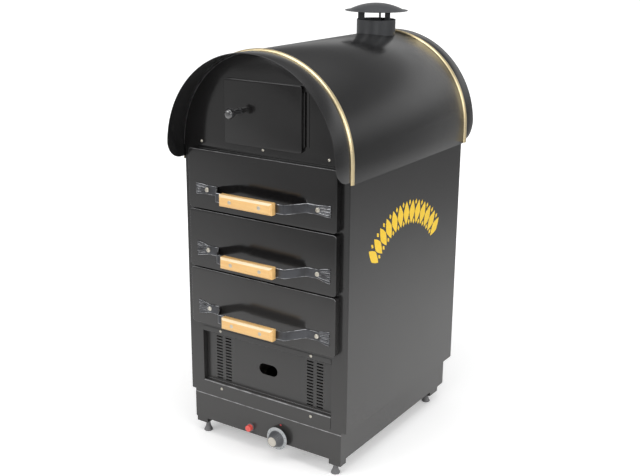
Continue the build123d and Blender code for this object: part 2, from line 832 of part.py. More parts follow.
def oven_roof_liner():
    """Roof of the baking chamber with the flue offtake welded on at the back."""
    reach = liner_half_width + liner_sheet
    top = roof_liner_height + liner_sheet
    end_y = body_depth - 2 * casing_sheet - insulation_gap
    plate = block(-reach, reach, casing_sheet, end_y, roof_liner_height, top)
    outer = block(-offtake_half_width, offtake_half_width, offtake_front_y, end_y, top, offtake_top)
    inner = block(
        -offtake_half_width + liner_sheet,
        offtake_half_width - liner_sheet,
        offtake_front_y + liner_sheet,
        end_y - liner_sheet,
        top - 1,
        offtake_top - liner_sheet,
    )
    throat = block(
        -offtake_half_width + liner_sheet,
        offtake_half_width - liner_sheet,
        offtake_front_y + liner_sheet,
        liner_rear_y,
        roof_liner_height - 1,
        top + 1,
    )
    hole = rod_z(0, chimney_y, chimney_radius - chimney_wall, offtake_top - liner_sheet - 1, offtake_top + 1)
    return plate + (outer - inner) - throat - hole


def flame_baffle():
    """Plate over the burners with heat slots along both sides."""
    y0 = front_lip_depth
    plate = block(
        -liner_half_width, liner_half_width, y0, baffle_end_y, baffle_height, baffle_height + casing_sheet
    )
    z0, z1 = baffle_height - 1, baffle_height + casing_sheet + 1
    for side in (-1, 1):
        for y in baffle_slot_y:
            middle = side * baffle_slot_x
            x0, x1 = middle - baffle_slot_width / 2, middle + baffle_slot_width / 2
            plate -= block(x0, x1, y - baffle_slot_length / 2, y + baffle_slot_length / 2, z0, z1)
    return plate


def insulation_slabs():
    """Mineral wool beside, behind and above the baking chamber."""
    gap = insulation_gap
    x0 = liner_half_width + liner_sheet + gap
    x1 = half_width - casing_sheet - gap
    back = body_depth - 2 * casing_sheet - gap
    side_back = body_depth - screw_length - gap
    side = block(x0, x1, front_lip_depth + gap, side_back, floor_top + gap, roof_liner_height - gap)
    rear_y0 = liner_rear_y + liner_sheet + gap
    rear = block(-x0 + 2 * gap, x0 - 2 * gap, rear_y0, back, floor_top + gap, roof_liner_height - gap)
    top = block(
        -liner_half_width,
        liner_half_width,
        screw_length,
        offtake_front_y - gap,
        roof_liner_height + liner_sheet + gap,
        warmer_floor - gap,
    )
    return group([side, mirrored_x(side), rear, top])


def handle_middle(index):
    """Height of a handle's centre line."""
    return drawer_bottom(index) + handle_heights[index]


def tray_bottom(index):
    """Underside of a drawer's tray."""
    return drawer_bottom(index) + tray_lift


def drawer_runners():
    """Angle runners on the side liners, two for each drawer."""
    runners = []
    y0, y1 = front_lip_depth, liner_rear_y - runner_rear_gap
    for index in range(drawer_count):
        top = tray_bottom(index) - fit_gap
        low = top - runner_sheet
        shelf = block(liner_half_width - runner_leg, liner_half_width, y0, y1, low, top)
        web = block(liner_half_width - runner_sheet, liner_half_width, y0, y1, low, low + runner_web_height)
        runner = shelf + web
        runners += [runner, mirrored_x(runner)]
    return group(runners)


def warmer_box():
    """Folded box of the warming compartment, open to the half-moon panel's mouth."""
    outside = warmer_half_width + warmer_sheet
    outer = block(-outside, outside, 0, warmer_end_y, warmer_floor, warmer_top)
    inner = block(
        -warmer_half_width,
        warmer_half_width,
        -1,
        warmer_end_y - warmer_sheet,
        warmer_floor + warmer_sheet,
        warmer_top - warmer_sheet,
    )
    return outer - inner


# ---------------------------------------------------------------- burners and gas
def burner_bars():
    """Two bar burners with mixing tubes, flame ports and welded legs."""
    y_ports = []
    y = burner_front_y + burner_port_pitch
    while y < burner_end_y - burner_port_pitch / 2:
        y_ports.append(y)
        y += burner_port_pitch
    bars = []
    for side in (-1, 1):
        x = side * burner_x
        bar = rod_y(x, burner_height, burner_radius, burner_front_y, burner_end_y)
        bar += rod_y(x, burner_height, mixing_tube_radius, mixing_tube_front_y, burner_front_y + 1)
        for leg_y in burner_leg_y:
            bar += block(
                x - burner_leg_half_width,
                x + burner_leg_half_width,
                leg_y,
                leg_y + burner_leg_sheet,
                floor_top,
                burner_height,
            )
        inside = burner_radius - burner_wall
        bar -= rod_y(x, burner_height, inside, burner_front_y + burner_wall, burner_end_y - burner_wall)
        mouth = mixing_tube_radius - burner_wall
        bar -= rod_y(x, burner_height, mouth, mixing_tube_front_y - 1, burner_front_y + 2 * burner_wall)
        for y in y_ports:
            bar -= rod_z(x, y, burner_port_radius, burner_height, burner_height + burner_radius + 1)
        bars.append(bar)
    return group(bars)


def gas_manifold():
    """Cross pipe with two jets, fed by a riser from the thermostat."""
    reach = burner_x + manifold_overhang
    pipe = rod_x(manifold_y, burner_height, manifold_radius, -reach, reach)
    valve_top = control_height + valve_height / 2
    pipe += rod_z(dial_x, manifold_y, riser_radius, valve_top, burner_height)
    for side in (-1, 1):
        pipe += rod_y(side * burner_x, burner_height, spud_radius, manifold_y, mixing_tube_front_y + 6)
    return pipe


def gas_supply_pipe():
    """Straight supply pipe through the plinth."""
    pipe = rod_y(dial_x, control_height, pipe_radius, valve_back, pipe_end_y)
    return pipe - rod_y(dial_x, control_height, pipe_bore_radius, valve_back - 1, pipe_end_y + 1)


def gas_inlet():
    """Brass inlet: hexagon inside the plinth, neck through its hole, half-inch pipe thread outside."""
    nut_radius = inlet_hexagon_across / sqrt(3)
    nut = Pos(dial_x, plinth_rear_y - plinth_sheet, control_height) * Rot(90, 0, 0)
    hexagon = nut * extrude(RegularPolygon(nut_radius, 6), inlet_hexagon_length)
    neck = rod_y(dial_x, control_height, inlet_neck_radius, inlet_front_y, inlet_thread_y + 1)
    thread = rod_y(dial_x, control_height, inlet_radius, inlet_thread_y, inlet_thread_y + inlet_thread_length)
    body = hexagon + neck + thread
    socket = rod_y(dial_x, control_height, pipe_radius + shaft_clearance, inlet_front_y - 1, pipe_end_y)
    bore_end = inlet_thread_y + inlet_thread_length + 1
    return body - socket - rod_y(dial_x, control_height, pipe_bore_radius, inlet_front_y, bore_end)


def thermostat_valve():
    """Gas thermostat behind the control panel."""
    x0, x1 = dial_x - valve_width / 2, dial_x + valve_width / 2
    z0, z1 = control_height - valve_height / 2, control_height + valve_height / 2
    body = block(x0, x1, valve_front, valve_back, z0, z1)
    body = fillet(body.edges().filter_by(Axis.Y), 3)
    body += rod_y(dial_x, control_height, 3 * spindle_radius, control_back_y, valve_front)
    bore = spindle_radius + shaft_clearance
    return body - rod_y(dial_x, control_height, bore, control_back_y - 1, spindle_back + 1)


def thermostat_bulb():
    """Sensing bulb at the back of the chamber, with its capillary to the thermostat."""
    z = control_height + valve_height / 2 - 5
    route = FilletPolyline(
        (capillary_x, valve_back, z),
        (capillary_x, bulb_y, z),
        (capillary_x, bulb_y, bulb_height),
        (0, bulb_y, bulb_height),
        radius=capillary_bend,
    )
    start = Plane(origin=(capillary_x, valve_back, z), z_dir=(0, 1, 0))
    tube = sweep(start * Circle(capillary_radius), path=route)
    return tube + rod_x(bulb_y, bulb_height, bulb_radius, -bulb_length, 0)


def spark_electrode():
    """Ceramic insulator with a wire tip beside the right burner bar."""
    low = body_bottom - electrode_tail
    ceramic = rod_z(electrode_x, electrode_y, electrode_radius, low, electrode_top)
    ceramic += rod_z(electrode_x, electrode_y, electrode_radius + 2, floor_top, floor_top + 8)
    return ceramic + rod_z(electrode_x, electrode_y, electrode_tip_radius, electrode_top, electrode_tip_top)


def ignition_lead():
    """High-tension lead from the spark generator to the electrode, inside the plinth."""
    end_z = body_bottom - electrode_tail
    route = FilletPolyline(
        (piezo_x, piezo_tail_end, control_height),
        (piezo_x, electrode_y, control_height),
        (piezo_x, electrode_y, lead_height),
        (electrode_x, electrode_y, lead_height),
        (electrode_x, electrode_y, end_z),
        radius=lead_bend,
    )
    start = Plane(origin=(piezo_x, piezo_tail_end, control_height), z_dir=(0, 1, 0))
    return sweep(start * Circle(lead_radius), path=route)


def piezo_body():
    """Spark generator: bezel in front of the control panel, barrel and tail behind it."""
    face = -control_panel_proud
    barrel_end = face + piezo_barrel_length
    body = joined(
        [
            rod_y(piezo_x, control_height, piezo_bezel_radius, face - piezo_bezel_height, face),
            rod_y(piezo_x, control_height, piezo_barrel_radius, face, barrel_end),
            rod_y(piezo_x, control_height, piezo_tail_radius, barrel_end, piezo_tail_end),
        ]
    )
    bore = piezo_button_radius + shaft_clearance
    depth = piezo_button_back + piezo_travel + 1
    return body - rod_y(piezo_x, control_height, bore, face - piezo_bezel_height - 1, depth)


def piezo_button():
    """Push button of the spark generator."""
    button = rod_y(piezo_x, control_height, piezo_button_radius, -piezo_button_front, piezo_button_back)
    rim = button.edges().filter_by(GeomType.CIRCLE).sort_by(Axis.Y)[0]
    return fillet(rim, 1.5)


# ---------------------------------------------------------------- thermostat dial
def dial_skirt():
    """Pale ring with the temperature marks."""
    y1 = -dial_skirt_front + dial_skirt_sheet
    ring = rod_y(dial_x, control_height, dial_skirt_radius, -dial_skirt_front, y1)
    rims = ring.edges().filter_by(GeomType.CIRCLE)
    ring = fillet(rims, 1.0)
    return ring - rod_y(dial_x, control_height, dial_hub_radius + shaft_clearance, -dial_skirt_front - 1, y1 + 1)


def dial_grip():
    """Dark conical grip with its hub."""
    hub = rod_y(dial_x, control_height, dial_hub_radius, -dial_skirt_front, -dial_hub_back)
    grip = cone_y(
        dial_x, control_height, dial_grip_top_radius, dial_grip_base_radius, -dial_grip_front, -dial_skirt_front
    )
    bore = spindle_radius + shaft_clearance
    return hub + grip - rod_y(dial_x, control_height, bore, -spindle_front, -dial_hub_back + 1)


def dial_cap():
    """Bright disc on the end of the grip."""
    cap = rod_y(dial_x, control_height, dial_cap_radius, -dial_grip_front - dial_cap_height, -dial_grip_front)
    rim = cap.edges().filter_by(GeomType.CIRCLE).sort_by(Axis.Y)[0]
    return fillet(rim, 0.8)


def dial_spindle():
    """Spindle from the grip into the thermostat."""
    return rod_y(dial_x, control_height, spindle_radius, -spindle_front, spindle_back)


# ---------------------------------------------------------------- warming compartment door
def knuckle_spans(moving):
    """Height ranges of the hinge knuckles of one leaf."""
    pitch = hinge_length / hinge_knuckle_count
    first = 1 if moving else 0
    spans = []
    for number in range(first, hinge_knuckle_count, 2):
        low = hinge_bottom + number * pitch + knuckle_gap / 2
        spans.append((low, low + pitch - knuckle_gap))
    return spans


def warmer_door():
    """Door pan with folded edges."""
    back = panel_face_y - door_seat_gap
    pan = block(door_free_x, door_hinged_x, door_front_y, back, door_bottom, door_top)
    pan = fillet(pan.edges().filter_by(Axis.Y), door_corner_radius)
    pan = fillet(pan.faces().sort_by(Axis.Y)[0].edges(), door_edge_radius)
    hollow = block(
        door_free_x + door_sheet,
        door_hinged_x - door_sheet,
        door_front_y + door_sheet,
        back + 1,
        door_bottom + door_sheet,
        door_top - door_sheet,
    )
    hollow = fillet(hollow.edges().filter_by(Axis.Y), door_corner_radius - door_sheet)
    return pan - hollow


def door_hinge_leaf_moving():
    """Hinge leaf on the door's edge."""
    x0 = door_hinged_x
    y0, y1 = door_front_y + 2, hinge_y + 2
    leaf = block(x0, x0 + hinge_leaf_sheet, y0, y1, hinge_bottom, hinge_bottom + hinge_length)
    for low, high in knuckle_spans(True):
        leaf += block(x0, hinge_x, hinge_y - hinge_leaf_sheet / 2, hinge_y + hinge_leaf_sheet / 2, low, high)
        leaf += rod_z(hinge_x, hinge_y, hinge_knuckle_radius, low, high)
    bore = hinge_pin_radius + shaft_clearance
    return leaf - rod_z(hinge_x, hinge_y, bore, hinge_bottom - 1, hinge_bottom + hinge_length + 1)


def door_hinge_leaf_fixed():
    """Hinge leaf on the half-moon panel."""
    y0, y1 = panel_face_y - hinge_leaf_sheet, panel_face_y
    x0 = hinge_x + hinge_knuckle_radius + knuckle_gap
    x1 = hinge_x + hinge_leaf_reach
    leaf = block(x0, x1, y0, y1, hinge_bottom, hinge_bottom + hinge_length)
    for low, high in knuckle_spans(False):
        leaf += block(hinge_x, x0 + 1, y0, y1, low, high)
        leaf += rod_z(hinge_x, hinge_y, hinge_knuckle_radius, low, high)
    bore = hinge_pin_radius + shaft_clearance
    return leaf - rod_z(hinge_x, hinge_y, bore, hinge_bottom - 1, hinge_bottom + hinge_length + 1)


def door_hinge_pin():
    """Long pin through all knuckles, with a small head on top."""
    top = hinge_bottom + hinge_length
    pin = rod_z(hinge_x, hinge_y, hinge_pin_radius, hinge_bottom, top)
    return pin + rod_z(hinge_x, hinge_y, hinge_knuckle_radius - 0.5, top, top + 1.5)


def warmer_door_knob():
    """Turned pull knob with a waisted stem."""
    y0 = door_front_y
    neck = y0 - knob_length * 0.55
    shoulder = y0 - knob_length * 0.7
    knob = joined(
        [
            cone_y(knob_x, knob_height, knob_neck_radius, knob_base_radius, neck, y0),
            cone_y(knob_x, knob_height, knob_head_radius, knob_neck_radius, shoulder, neck),
            rod_y(knob_x, knob_height, knob_head_radius, y0 - knob_length, shoulder),
        ]
    )
    rim = knob.edges().filter_by(GeomType.CIRCLE).sort_by(Axis.Y)[0]
    return fillet(rim, 2.5)


def magnet_catch():
    """Magnet behind the free edge of the door."""
    x0 = -mouth_half_width + 0.5
    x1 = x0 + magnet_width
    low = (mouth_bottom + mouth_top - magnet_height) / 2
    high = low + magnet_height
    face = door_front_y + door_sheet + 0.5
    foot = block(-warmer_half_width + insulation_gap, x1, 0, 12, low, high)
    return foot + block(x0, x1, face, 1, low, high)


# ---------------------------------------------------------------- drawers
def drawer_front(index):
    """Front pan with folded edges; the bolt holes take the handle."""
    low = drawer_bottom(index)
    high = low + drawer_front_height
    half = drawer_front_width / 2
    back = -drawer_seat_gap
    pan = block(-half, half, -drawer_proud, back, low, high)
    pan = fillet(pan.edges().filter_by(Axis.Y), drawer_corner_radius)
    pan = fillet(pan.faces().sort_by(Axis.Y)[0].edges(), drawer_edge_radius)
    sheet = drawer_front_sheet
    hollow = block(-half + sheet, half - sheet, -drawer_proud + sheet, back + 1, low + sheet, high - sheet)
    hollow = fillet(hollow.edges().filter_by(Axis.Y), drawer_corner_radius - sheet)
    pan -= hollow
    for side in (-1, 1):
        hole_y = (-drawer_proud - 1, -drawer_proud + drawer_front_sheet + 1)
        x = handle_shift + side * bolt_x
        pan -= rod_y(x, handle_middle(index), bolt_radius + fit_gap, *hole_y)
    return pan


def drawer_tray(index):
    """Baking tray: a folded floor with two sides, and two end walls welded in. The front one takes the bolts."""
    low = tray_bottom(index)
    high = low + tray_height
    half = tray_width / 2
    inside = half - tray_sheet
    y0 = -drawer_proud + drawer_front_sheet
    trough = block(-half, half, y0, tray_end_y, low, high)
    trough -= block(-inside, inside, y0 - 1, tray_end_y + 1, low + tray_sheet, high + 1)
    front = block(-inside, inside, y0, y0 + tray_sheet, low + tray_sheet, high)
    for side in (-1, 1):
        x = handle_shift + side * bolt_x
        front -= rod_y(x, handle_middle(index), bolt_radius + fit_gap, y0 - 1, y0 + tray_sheet + 1)
    rear = block(-inside, inside, tray_end_y - tray_sheet, tray_end_y, low + tray_sheet, high)
    return group([trough, front, rear])


def end_pad(middle, end_half):
    """Flat end of a strap, flared and slit into tines."""
    y0, y1 = -drawer_proud - strap_sheet, -drawer_proud
    half = strap_width / 2
    start = pad_start_x + strap_sheet
    reach = pad_end_x - tine_start_x
    bulge = 3.0
    with BuildSketch(Plane.XZ) as flat:
        with BuildLine():
            Polyline((start, middle - half), (tine_start_x - 6, middle - half), (pad_end_x, middle - end_half))
            ThreePointArc(
                (pad_end_x, middle - end_half), (pad_end_x + bulge, middle), (pad_end_x, middle + end_half)
            )
            Polyline((pad_end_x, middle + end_half), (tine_start_x - 6, middle + half), (start, middle + half))
            Line((start, middle + half), (start, middle - half))
        make_face()
    pad = Pos(0, y1, 0) * extrude(flat.sketch, strap_sheet)
    spread = end_half / half
    for number in range(1, tine_count):
        share = number / tine_count * 2 - 1
        z0 = middle + share * half
        z1 = middle + share * half * spread
        angle = degrees(atan2(z1 - z0, reach))
        length = reach + 12
        slit = block(0, length, y0 - 1, y1 + 1, -tine_slit / 2, tine_slit / 2)
        pad -= Pos(tine_start_x, 0, z0) * Rot(0, -angle, 0) * slit
    return pad


def drawer_handle(index):
    """Steel strap of one handle, drilled for its bolts and its grip screws."""
    middle = handle_middle(index)
    fanned = index > 0
    end_half = pad_end_half_fanned if fanned else pad_end_half_plain
    bar = bent_bar(middle - strap_width / 2, middle + strap_width / 2)
    half = bar + end_pad(middle, end_half)
    pad_y = (-drawer_proud - strap_sheet - 1, -drawer_proud + 1)
    half -= rod_y(bolt_x, middle, bolt_radius + shaft_clearance, *pad_y)
    middle_y = (strap_front_y - 1, strap_back_y + 1)
    half -= rod_y(grip_screw_x, middle, grip_screw_radius + shaft_clearance, *middle_y)
    return Pos(handle_shift, 0, 0) * (half + mirrored_x(half))


def bent_bar(low, high):
    """Half of the bent bar, from the middle of the handle to its flat end, with round bends."""
    face = -drawer_proud
    centre_line = [
        (0, strap_back_y - strap_sheet / 2),
        (strap_bend_x, strap_back_y - strap_sheet / 2),
        (pad_start_x, face - strap_sheet / 2),
        (tine_start_x - 8, face - strap_sheet / 2),
    ]
    path = FilletPolyline(*centre_line, radius=strap_corner_radius)
    start = Plane(origin=(0, strap_back_y - strap_sheet / 2, 0), z_dir=(1, 0, 0), x_dir=(0, 1, 0))
    section = start * Pos(0, (low + high) / 2, 0) * Rectangle(strap_sheet, high - low)
    return sweep(section, path=Pos(0, 0, (low + high) / 2) * path)


def drawer_grip(index):
    """Wooden grip on the front of the strap, its edges chamfered."""
    middle = handle_middle(index)
    half = grip_length / 2
    grip = block(
        -half, half, grip_front_y, strap_front_y, middle - grip_height / 2, middle + grip_height / 2
    )
    grip = chamfer(grip.faces().sort_by(Axis.Y)[0].edges(), grip_chamfer)
    for side in (-1, 1):
        x = side * grip_screw_x
        grip -= rod_y(x, middle, grip_screw_radius + shaft_clearance, grip_front_y - 1, strap_front_y + 1)
    return Pos(handle_shift, 0, 0) * grip


def drawer_fixings(index):
    """Two bolts through the strap's ends and two screws through the grip."""
    middle = handle_middle(index)
    pieces = []
    for side in (-1, 1):
        seat = -drawer_proud - strap_sheet
        bolt = pan_head_y(side * bolt_x, seat, middle, bolt_head_radius, bolt_head_height, bolt_radius, bolt_length)
        length = grip_thickness + strap_sheet
        screw = pan_head_y(
            side * grip_screw_x,
            grip_front_y,
            middle,
            grip_screw_head_radius,
            grip_screw_head_height,
            grip_screw_radius,
            length,
        )
        pieces += [bolt, screw]
    return Pos(handle_shift, 0, 0) * group(pieces)


# ---------------------------------------------------------------- all nodes
def nodes():
    """Every node by name."""
    right = side_panel()
    made = {
        "side_panel_left": mirrored_x(right),
        "side_panel_right": right,
        "back_panel": back_panel(),
        "front_rails": front_rails(),
        "arch_panel": arch_panel(),
        "hood_cover": hood_cover(),
        "front_visor": visor(visor_front_y, front_bead_y),
        "rear_visor": visor(visor_rear_y, rear_bead_y),
        "hood_beads": hood_beads(),
        "burner_access_panel": burner_access_panel(),
        "case_screws": case_screws(),
        "base_tray": base_tray(),
        "control_panel": control_panel(),
        "plinth_surround": plinth_surround(),
        "corner_brackets": corner_brackets(),
        "levelling_feet": levelling_feet(),
        "oven_wall_liners": oven_wall_liners(),
        "oven_roof_liner": oven_roof_liner(),
        "flame_baffle": flame_baffle(),
        "insulation_slabs": insulation_slabs(),
        "drawer_runners": drawer_runners(),
        "warmer_box": warmer_box(),
        "chimney_pipe": chimney_pipe(),
        "rain_cap": rain_cap(),
        "rain_cap_legs": rain_cap_legs(),
        "burner_bars": burner_bars(),
        "gas_manifold": gas_manifold(),
        "gas_supply_pipe": gas_supply_pipe(),
        "gas_inlet": gas_inlet(),
        "thermostat_valve": thermostat_valve(),
        "thermostat_bulb": thermostat_bulb(),
        "spark_electrode": spark_electrode(),
        "ignition_lead": ignition_lead(),
        "piezo_body": piezo_body(),
        "piezo_button": piezo_button(),
        "dial_skirt": dial_skirt(),
        "dial_grip": dial_grip(),
        "dial_cap": dial_cap(),
        "dial_spindle": dial_spindle(),
        "warmer_door": warmer_door(),
        "warmer_door_knob": warmer_door_knob(),
        "door_hinge_leaf_moving": door_hinge_leaf_moving(),
        "door_hinge_leaf_fixed": door_hinge_leaf_fixed(),
        "door_hinge_pin": door_hinge_pin(),
        "magnet_catch": magnet_catch(),
    }
    for index in range(drawer_count):
        name = f"drawer_{index + 1}"
        made[f"{name}_front"] = drawer_front(index)
        made[f"{name}_tray"] = drawer_tray(index)
        made[f"{name}_handle"] = drawer_handle(index)
        made[f"{name}_grip"] = drawer_grip(index)
        made[f"{name}_fixings"] = drawer_fixings(index)
    return made


def main():
    os.makedirs("parts", exist_ok=True)
    to_origin = Pos(0, -origin_y, 0)
    for name, piece in nodes().items():
        export_step(to_origin * piece, f"parts/{name}.step")
    print("outline y", outline_front_y - origin_y, outline_rear_y - origin_y)


if __name__ == "__main__":
    main()
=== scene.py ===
# %% [markdown]
# # A gas-fired baked potato oven
# Three baking drawers stand under a barrel hood with a small warming compartment. The casing is
# folded steel sheet with a black powder coat. This lesson dresses the engineering model: the
# plain pieces get real finishes, and the pieces that the eye goes to are modelled again with
# softer edges. The frame is loaded first, so every new piece goes where the maker's drawing says.

# %% Load the frame
import json
from math import atan2, cos, degrees, hypot, pi, radians, sin
import bpy
from mathutils import Matrix, Vector


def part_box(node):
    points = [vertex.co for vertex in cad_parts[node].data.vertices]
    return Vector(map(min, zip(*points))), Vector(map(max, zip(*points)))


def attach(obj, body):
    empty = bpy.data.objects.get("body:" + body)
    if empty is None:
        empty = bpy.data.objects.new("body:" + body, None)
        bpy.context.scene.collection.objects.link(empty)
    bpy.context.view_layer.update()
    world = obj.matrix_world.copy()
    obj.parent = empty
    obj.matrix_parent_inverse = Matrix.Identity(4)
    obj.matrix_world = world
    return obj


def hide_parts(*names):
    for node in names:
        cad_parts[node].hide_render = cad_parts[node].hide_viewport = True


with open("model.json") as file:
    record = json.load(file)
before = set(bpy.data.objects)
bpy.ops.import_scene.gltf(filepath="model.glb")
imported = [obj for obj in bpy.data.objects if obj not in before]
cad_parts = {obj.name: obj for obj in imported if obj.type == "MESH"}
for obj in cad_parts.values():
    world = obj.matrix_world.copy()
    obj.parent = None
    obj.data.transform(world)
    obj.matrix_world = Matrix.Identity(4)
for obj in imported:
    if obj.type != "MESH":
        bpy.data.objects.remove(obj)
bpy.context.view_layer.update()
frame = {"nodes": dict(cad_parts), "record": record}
nodes = frame["nodes"]

# %% [markdown]
# ## Where things are
# All places are in metres. The maker measures back from the front face of the casing, so one
# value, `face`, turns those depths into the frame's own. The hood's axis is read from the frame.

# %% Shared places
panel_low, panel_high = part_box("side_panel_right")
face = panel_low.y
half_width = panel_high.x
arch_z = panel_high.z
hood_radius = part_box("hood_cover")[1].x
grip_boxes = [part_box(f"drawer_{number}_grip") for number in (1, 2, 3)]
handle_x = sum(corner.x for corner in grip_boxes[0]) / 2
handle_z = [sum(corner.z for corner in box) / 2 for box in grip_boxes]
dial_low, dial_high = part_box("dial_skirt")
dial_x, dial_z = (dial_low.x + dial_high.x) / 2, (dial_low.z + dial_high.z) / 2
button_x = -0.0485
double, fine_double = 0.00002, 0.000005  # verts closer than this are merged
clear = 0.01  # how far a cutter stands out of what it cuts
print("casing face", round(face, 4), "arch centre", round(arch_z, 4))
print("hood radius", round(hood_radius, 4), "handles at x", round(handle_x, 4))

# %% [markdown]
# ## Helpers for modelling
# An operator works on whatever is selected, so a helper that makes or picks something first clears
# the selection. Faces and edges are then chosen by where they are, as a hand would choose them.

# %% Selection helpers
def only(piece):
    """Make a piece the one selected and active object."""
    if bpy.context.object and bpy.context.object.mode != "OBJECT":
        bpy.ops.object.mode_set(mode="OBJECT")
    bpy.ops.object.select_all(action="DESELECT")
    piece.select_set(True)
    bpy.context.view_layer.objects.active = piece


def choose(piece, kind, test):
    """Enter edit mode with the edges or faces selected whose middle passes the test."""
    only(piece)
    bpy.ops.object.mode_set(mode="EDIT")
    bpy.ops.mesh.select_mode(type=kind)
    bpy.ops.mesh.select_all(action="DESELECT")
    bpy.ops.object.mode_set(mode="OBJECT")
    mesh = piece.data
    if kind == "EDGE":
        for edge in mesh.edges:
            a, b = (mesh.vertices[i].co for i in edge.vertices)
            edge.select = bool(test((a + b) / 2, b - a))
    else:
        for polygon in mesh.polygons:
            polygon.select = bool(test(polygon.center, polygon.normal))
    bpy.ops.object.mode_set(mode="EDIT")


def near(a, b):
    """Whether two places along an axis are the same."""
    return abs(a - b) < 1e-5


def new_block(name, low, high):
    """A box between two corners, its place already in its mesh."""
    bpy.ops.object.select_all(action="DESELECT")
    low, high = Vector(low), Vector(high)
    bpy.ops.mesh.primitive_cube_add(size=1, location=(low + high) / 2, scale=high - low)
    piece = bpy.context.object
    piece.name = name
    bpy.ops.object.transform_apply(location=True, rotation=True, scale=True)
    return piece


def extrude(step):
    """Extrude what is selected and move it by a step."""
    bpy.ops.mesh.extrude_region_move(TRANSFORM_OT_translate={"value": step})


def drawn_line(name, points):
    """A line of edges drawn point by point, by extruding one vertex."""
    bpy.ops.object.select_all(action="DESELECT")
    bpy.ops.mesh.primitive_plane_add(size=0.01, location=points[0])
    piece = bpy.context.object
    piece.name = name
    bpy.ops.object.transform_apply(location=True)
    bpy.ops.object.mode_set(mode="EDIT")
    bpy.ops.mesh.select_mode(type="VERT")
    bpy.ops.mesh.select_all(action="SELECT")
    bpy.ops.mesh.merge(type="CENTER")
    for a, b in zip(points, points[1:]):
        extrude(Vector(b) - Vector(a))
    bpy.ops.mesh.select_all(action="SELECT")
    return piece


def closed_line(name, points):
    """A line drawn back to its first point and joined there."""
    piece = drawn_line(name, [*points, points[0]])
    bpy.ops.mesh.remove_doubles(threshold=double)
    return piece


def tidy_shell(piece, merge=double):
    """Merge doubles and turn every face outwards."""
    only(piece)
    bpy.ops.object.mode_set(mode="EDIT")
    bpy.ops.mesh.select_mode(type="VERT")
    bpy.ops.mesh.select_all(action="SELECT")
    bpy.ops.mesh.remove_doubles(threshold=merge)
    bpy.ops.mesh.normals_make_consistent(inside=False)
    bpy.ops.object.mode_set(mode="OBJECT")


def apply_modifier(piece, kind, **values):
    """Add a modifier, set it and apply it."""
    only(piece)
    modifier = piece.modifiers.new(kind.title(), kind)
    for key, value in values.items():
        setattr(modifier, key, value)
    bpy.ops.object.modifier_apply(modifier=modifier.name)


def soften(piece, width, segments, angle):
    """Round every sharp edge a little, so that it catches the light."""
    apply_modifier(piece, "BEVEL", width=width, segments=segments, limit_method="ANGLE",
                   angle_limit=radians(angle), harden_normals=False)


def cut(piece, cutter):
    """Cut one piece out of another, and throw the cutter away."""
    apply_modifier(piece, "BOOLEAN", operation="DIFFERENCE", solver="EXACT", object=cutter)
    bpy.data.objects.remove(cutter)


def pushed(name, outline, push):
    """A closed outline filled with a face and pushed along one direction into a solid."""
    piece = closed_line(name, outline)
    bpy.ops.mesh.edge_face_add()
    extrude(push)
    tidy_shell(piece)
    return piece


def turned(name, points, centre, axis, steps):
    """Lathe work: a profile of (distance from axis, place along axis), spun a full turn."""
    cx, cy, cz = centre
    if axis == "Y":
        line = [(cx + r, cy + a, cz) for r, a in points]
        direction = (0, 1, 0)
    else:
        line = [(cx + r, cy, cz + a) for r, a in points]
        direction = (0, 0, 1)
    piece = drawn_line(name, line)
    bpy.ops.mesh.spin(steps=steps, angle=2 * pi, center=centre, axis=direction)
    tidy_shell(piece)
    return piece


def copied(piece, name, move=(0, 0, 0)):
    """A copy with a mesh of its own, moved inside its mesh."""
    twin = piece.copy()
    twin.data = piece.data.copy()
    twin.name = name
    bpy.context.collection.objects.link(twin)
    twin.data.transform(Matrix.Translation(Vector(move)))
    return twin


def joined(pieces, name):
    """Several pieces made one object."""
    only(pieces[0])
    for piece in pieces:
        piece.select_set(True)
    bpy.ops.object.join()
    pieces[0].name = name
    return pieces[0]


def seat(piece, body, slot, *hidden, smooth=35):
    """Finish a piece: soft shading, its body, its finish, and the plain nodes it stands for."""
    only(piece)
    bpy.ops.object.transform_apply(location=True, rotation=True, scale=True)
    bpy.ops.object.shade_smooth_by_angle(angle=radians(smooth))
    piece.data.materials.clear()
    piece.data.materials.append(finish[slot])
    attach(piece, body)
    if hidden:
        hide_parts(*hidden)
    print(piece.name, len(piece.data.polygons), "faces")


def mark_highlight_and_wear(piece, test):
    """Mark the faces that pass the test: finishes paint a highlight there, and on straps also wear.
    """
    marks = piece.data.attributes.new("highlight_and_wear", "FLOAT", "FACE")
    for polygon in piece.data.polygons:
        marks.data[polygon.index].value = float(test(polygon.center, polygon.normal))


# %% [markdown]
# ## Shared surface effects
# Powder coat, rolled steel and timber each have their own small faults. Each effect is a node
# group, built once and placed in every material that needs it with its own values. A group puts
# out only colours and values, and the shader itself stays in the material.

# %% Node group helper
def effect(name, inputs):
    """A node group with the named inputs, which puts out a colour, a roughness and a height."""
    group = bpy.data.node_groups.new(name, "ShaderNodeTree")
    for label, kind, value in [("Vector", "Vector", (0, 0, 0)), *inputs, ("Highlight_And_Wear", "Float", 0.0)]:
        socket = group.interface.new_socket(label, in_out="INPUT", socket_type="NodeSocket" + kind)
        socket.default_value = value
    for label, kind in (("Colour", "Color"), ("Roughness", "Float"), ("Height", "Float")):
        group.interface.new_socket(label, in_out="OUTPUT", socket_type="NodeSocket" + kind)
    return group, group.nodes.new("NodeGroupInput"), group.nodes.new("NodeGroupOutput")


def feed(tree, socket, value):
    """Link a socket to another node's output, or give it a plain value."""
    if isinstance(value, bpy.types.NodeSocket):
        tree.links.new(value, socket)
    else:
        socket.default_value = value


def noise(tree, vector, scale, detail, roughness):
    """A noise pattern on a vector."""
    node = tree.nodes.new("ShaderNodeTexNoise")
    node.inputs["Scale"].default_value = scale
    node.inputs["Detail"].default_value = detail
    node.inputs["Roughness"].default_value = roughness
    tree.links.new(vector, node.inputs["Vector"])
    return node.outputs["Fac"]


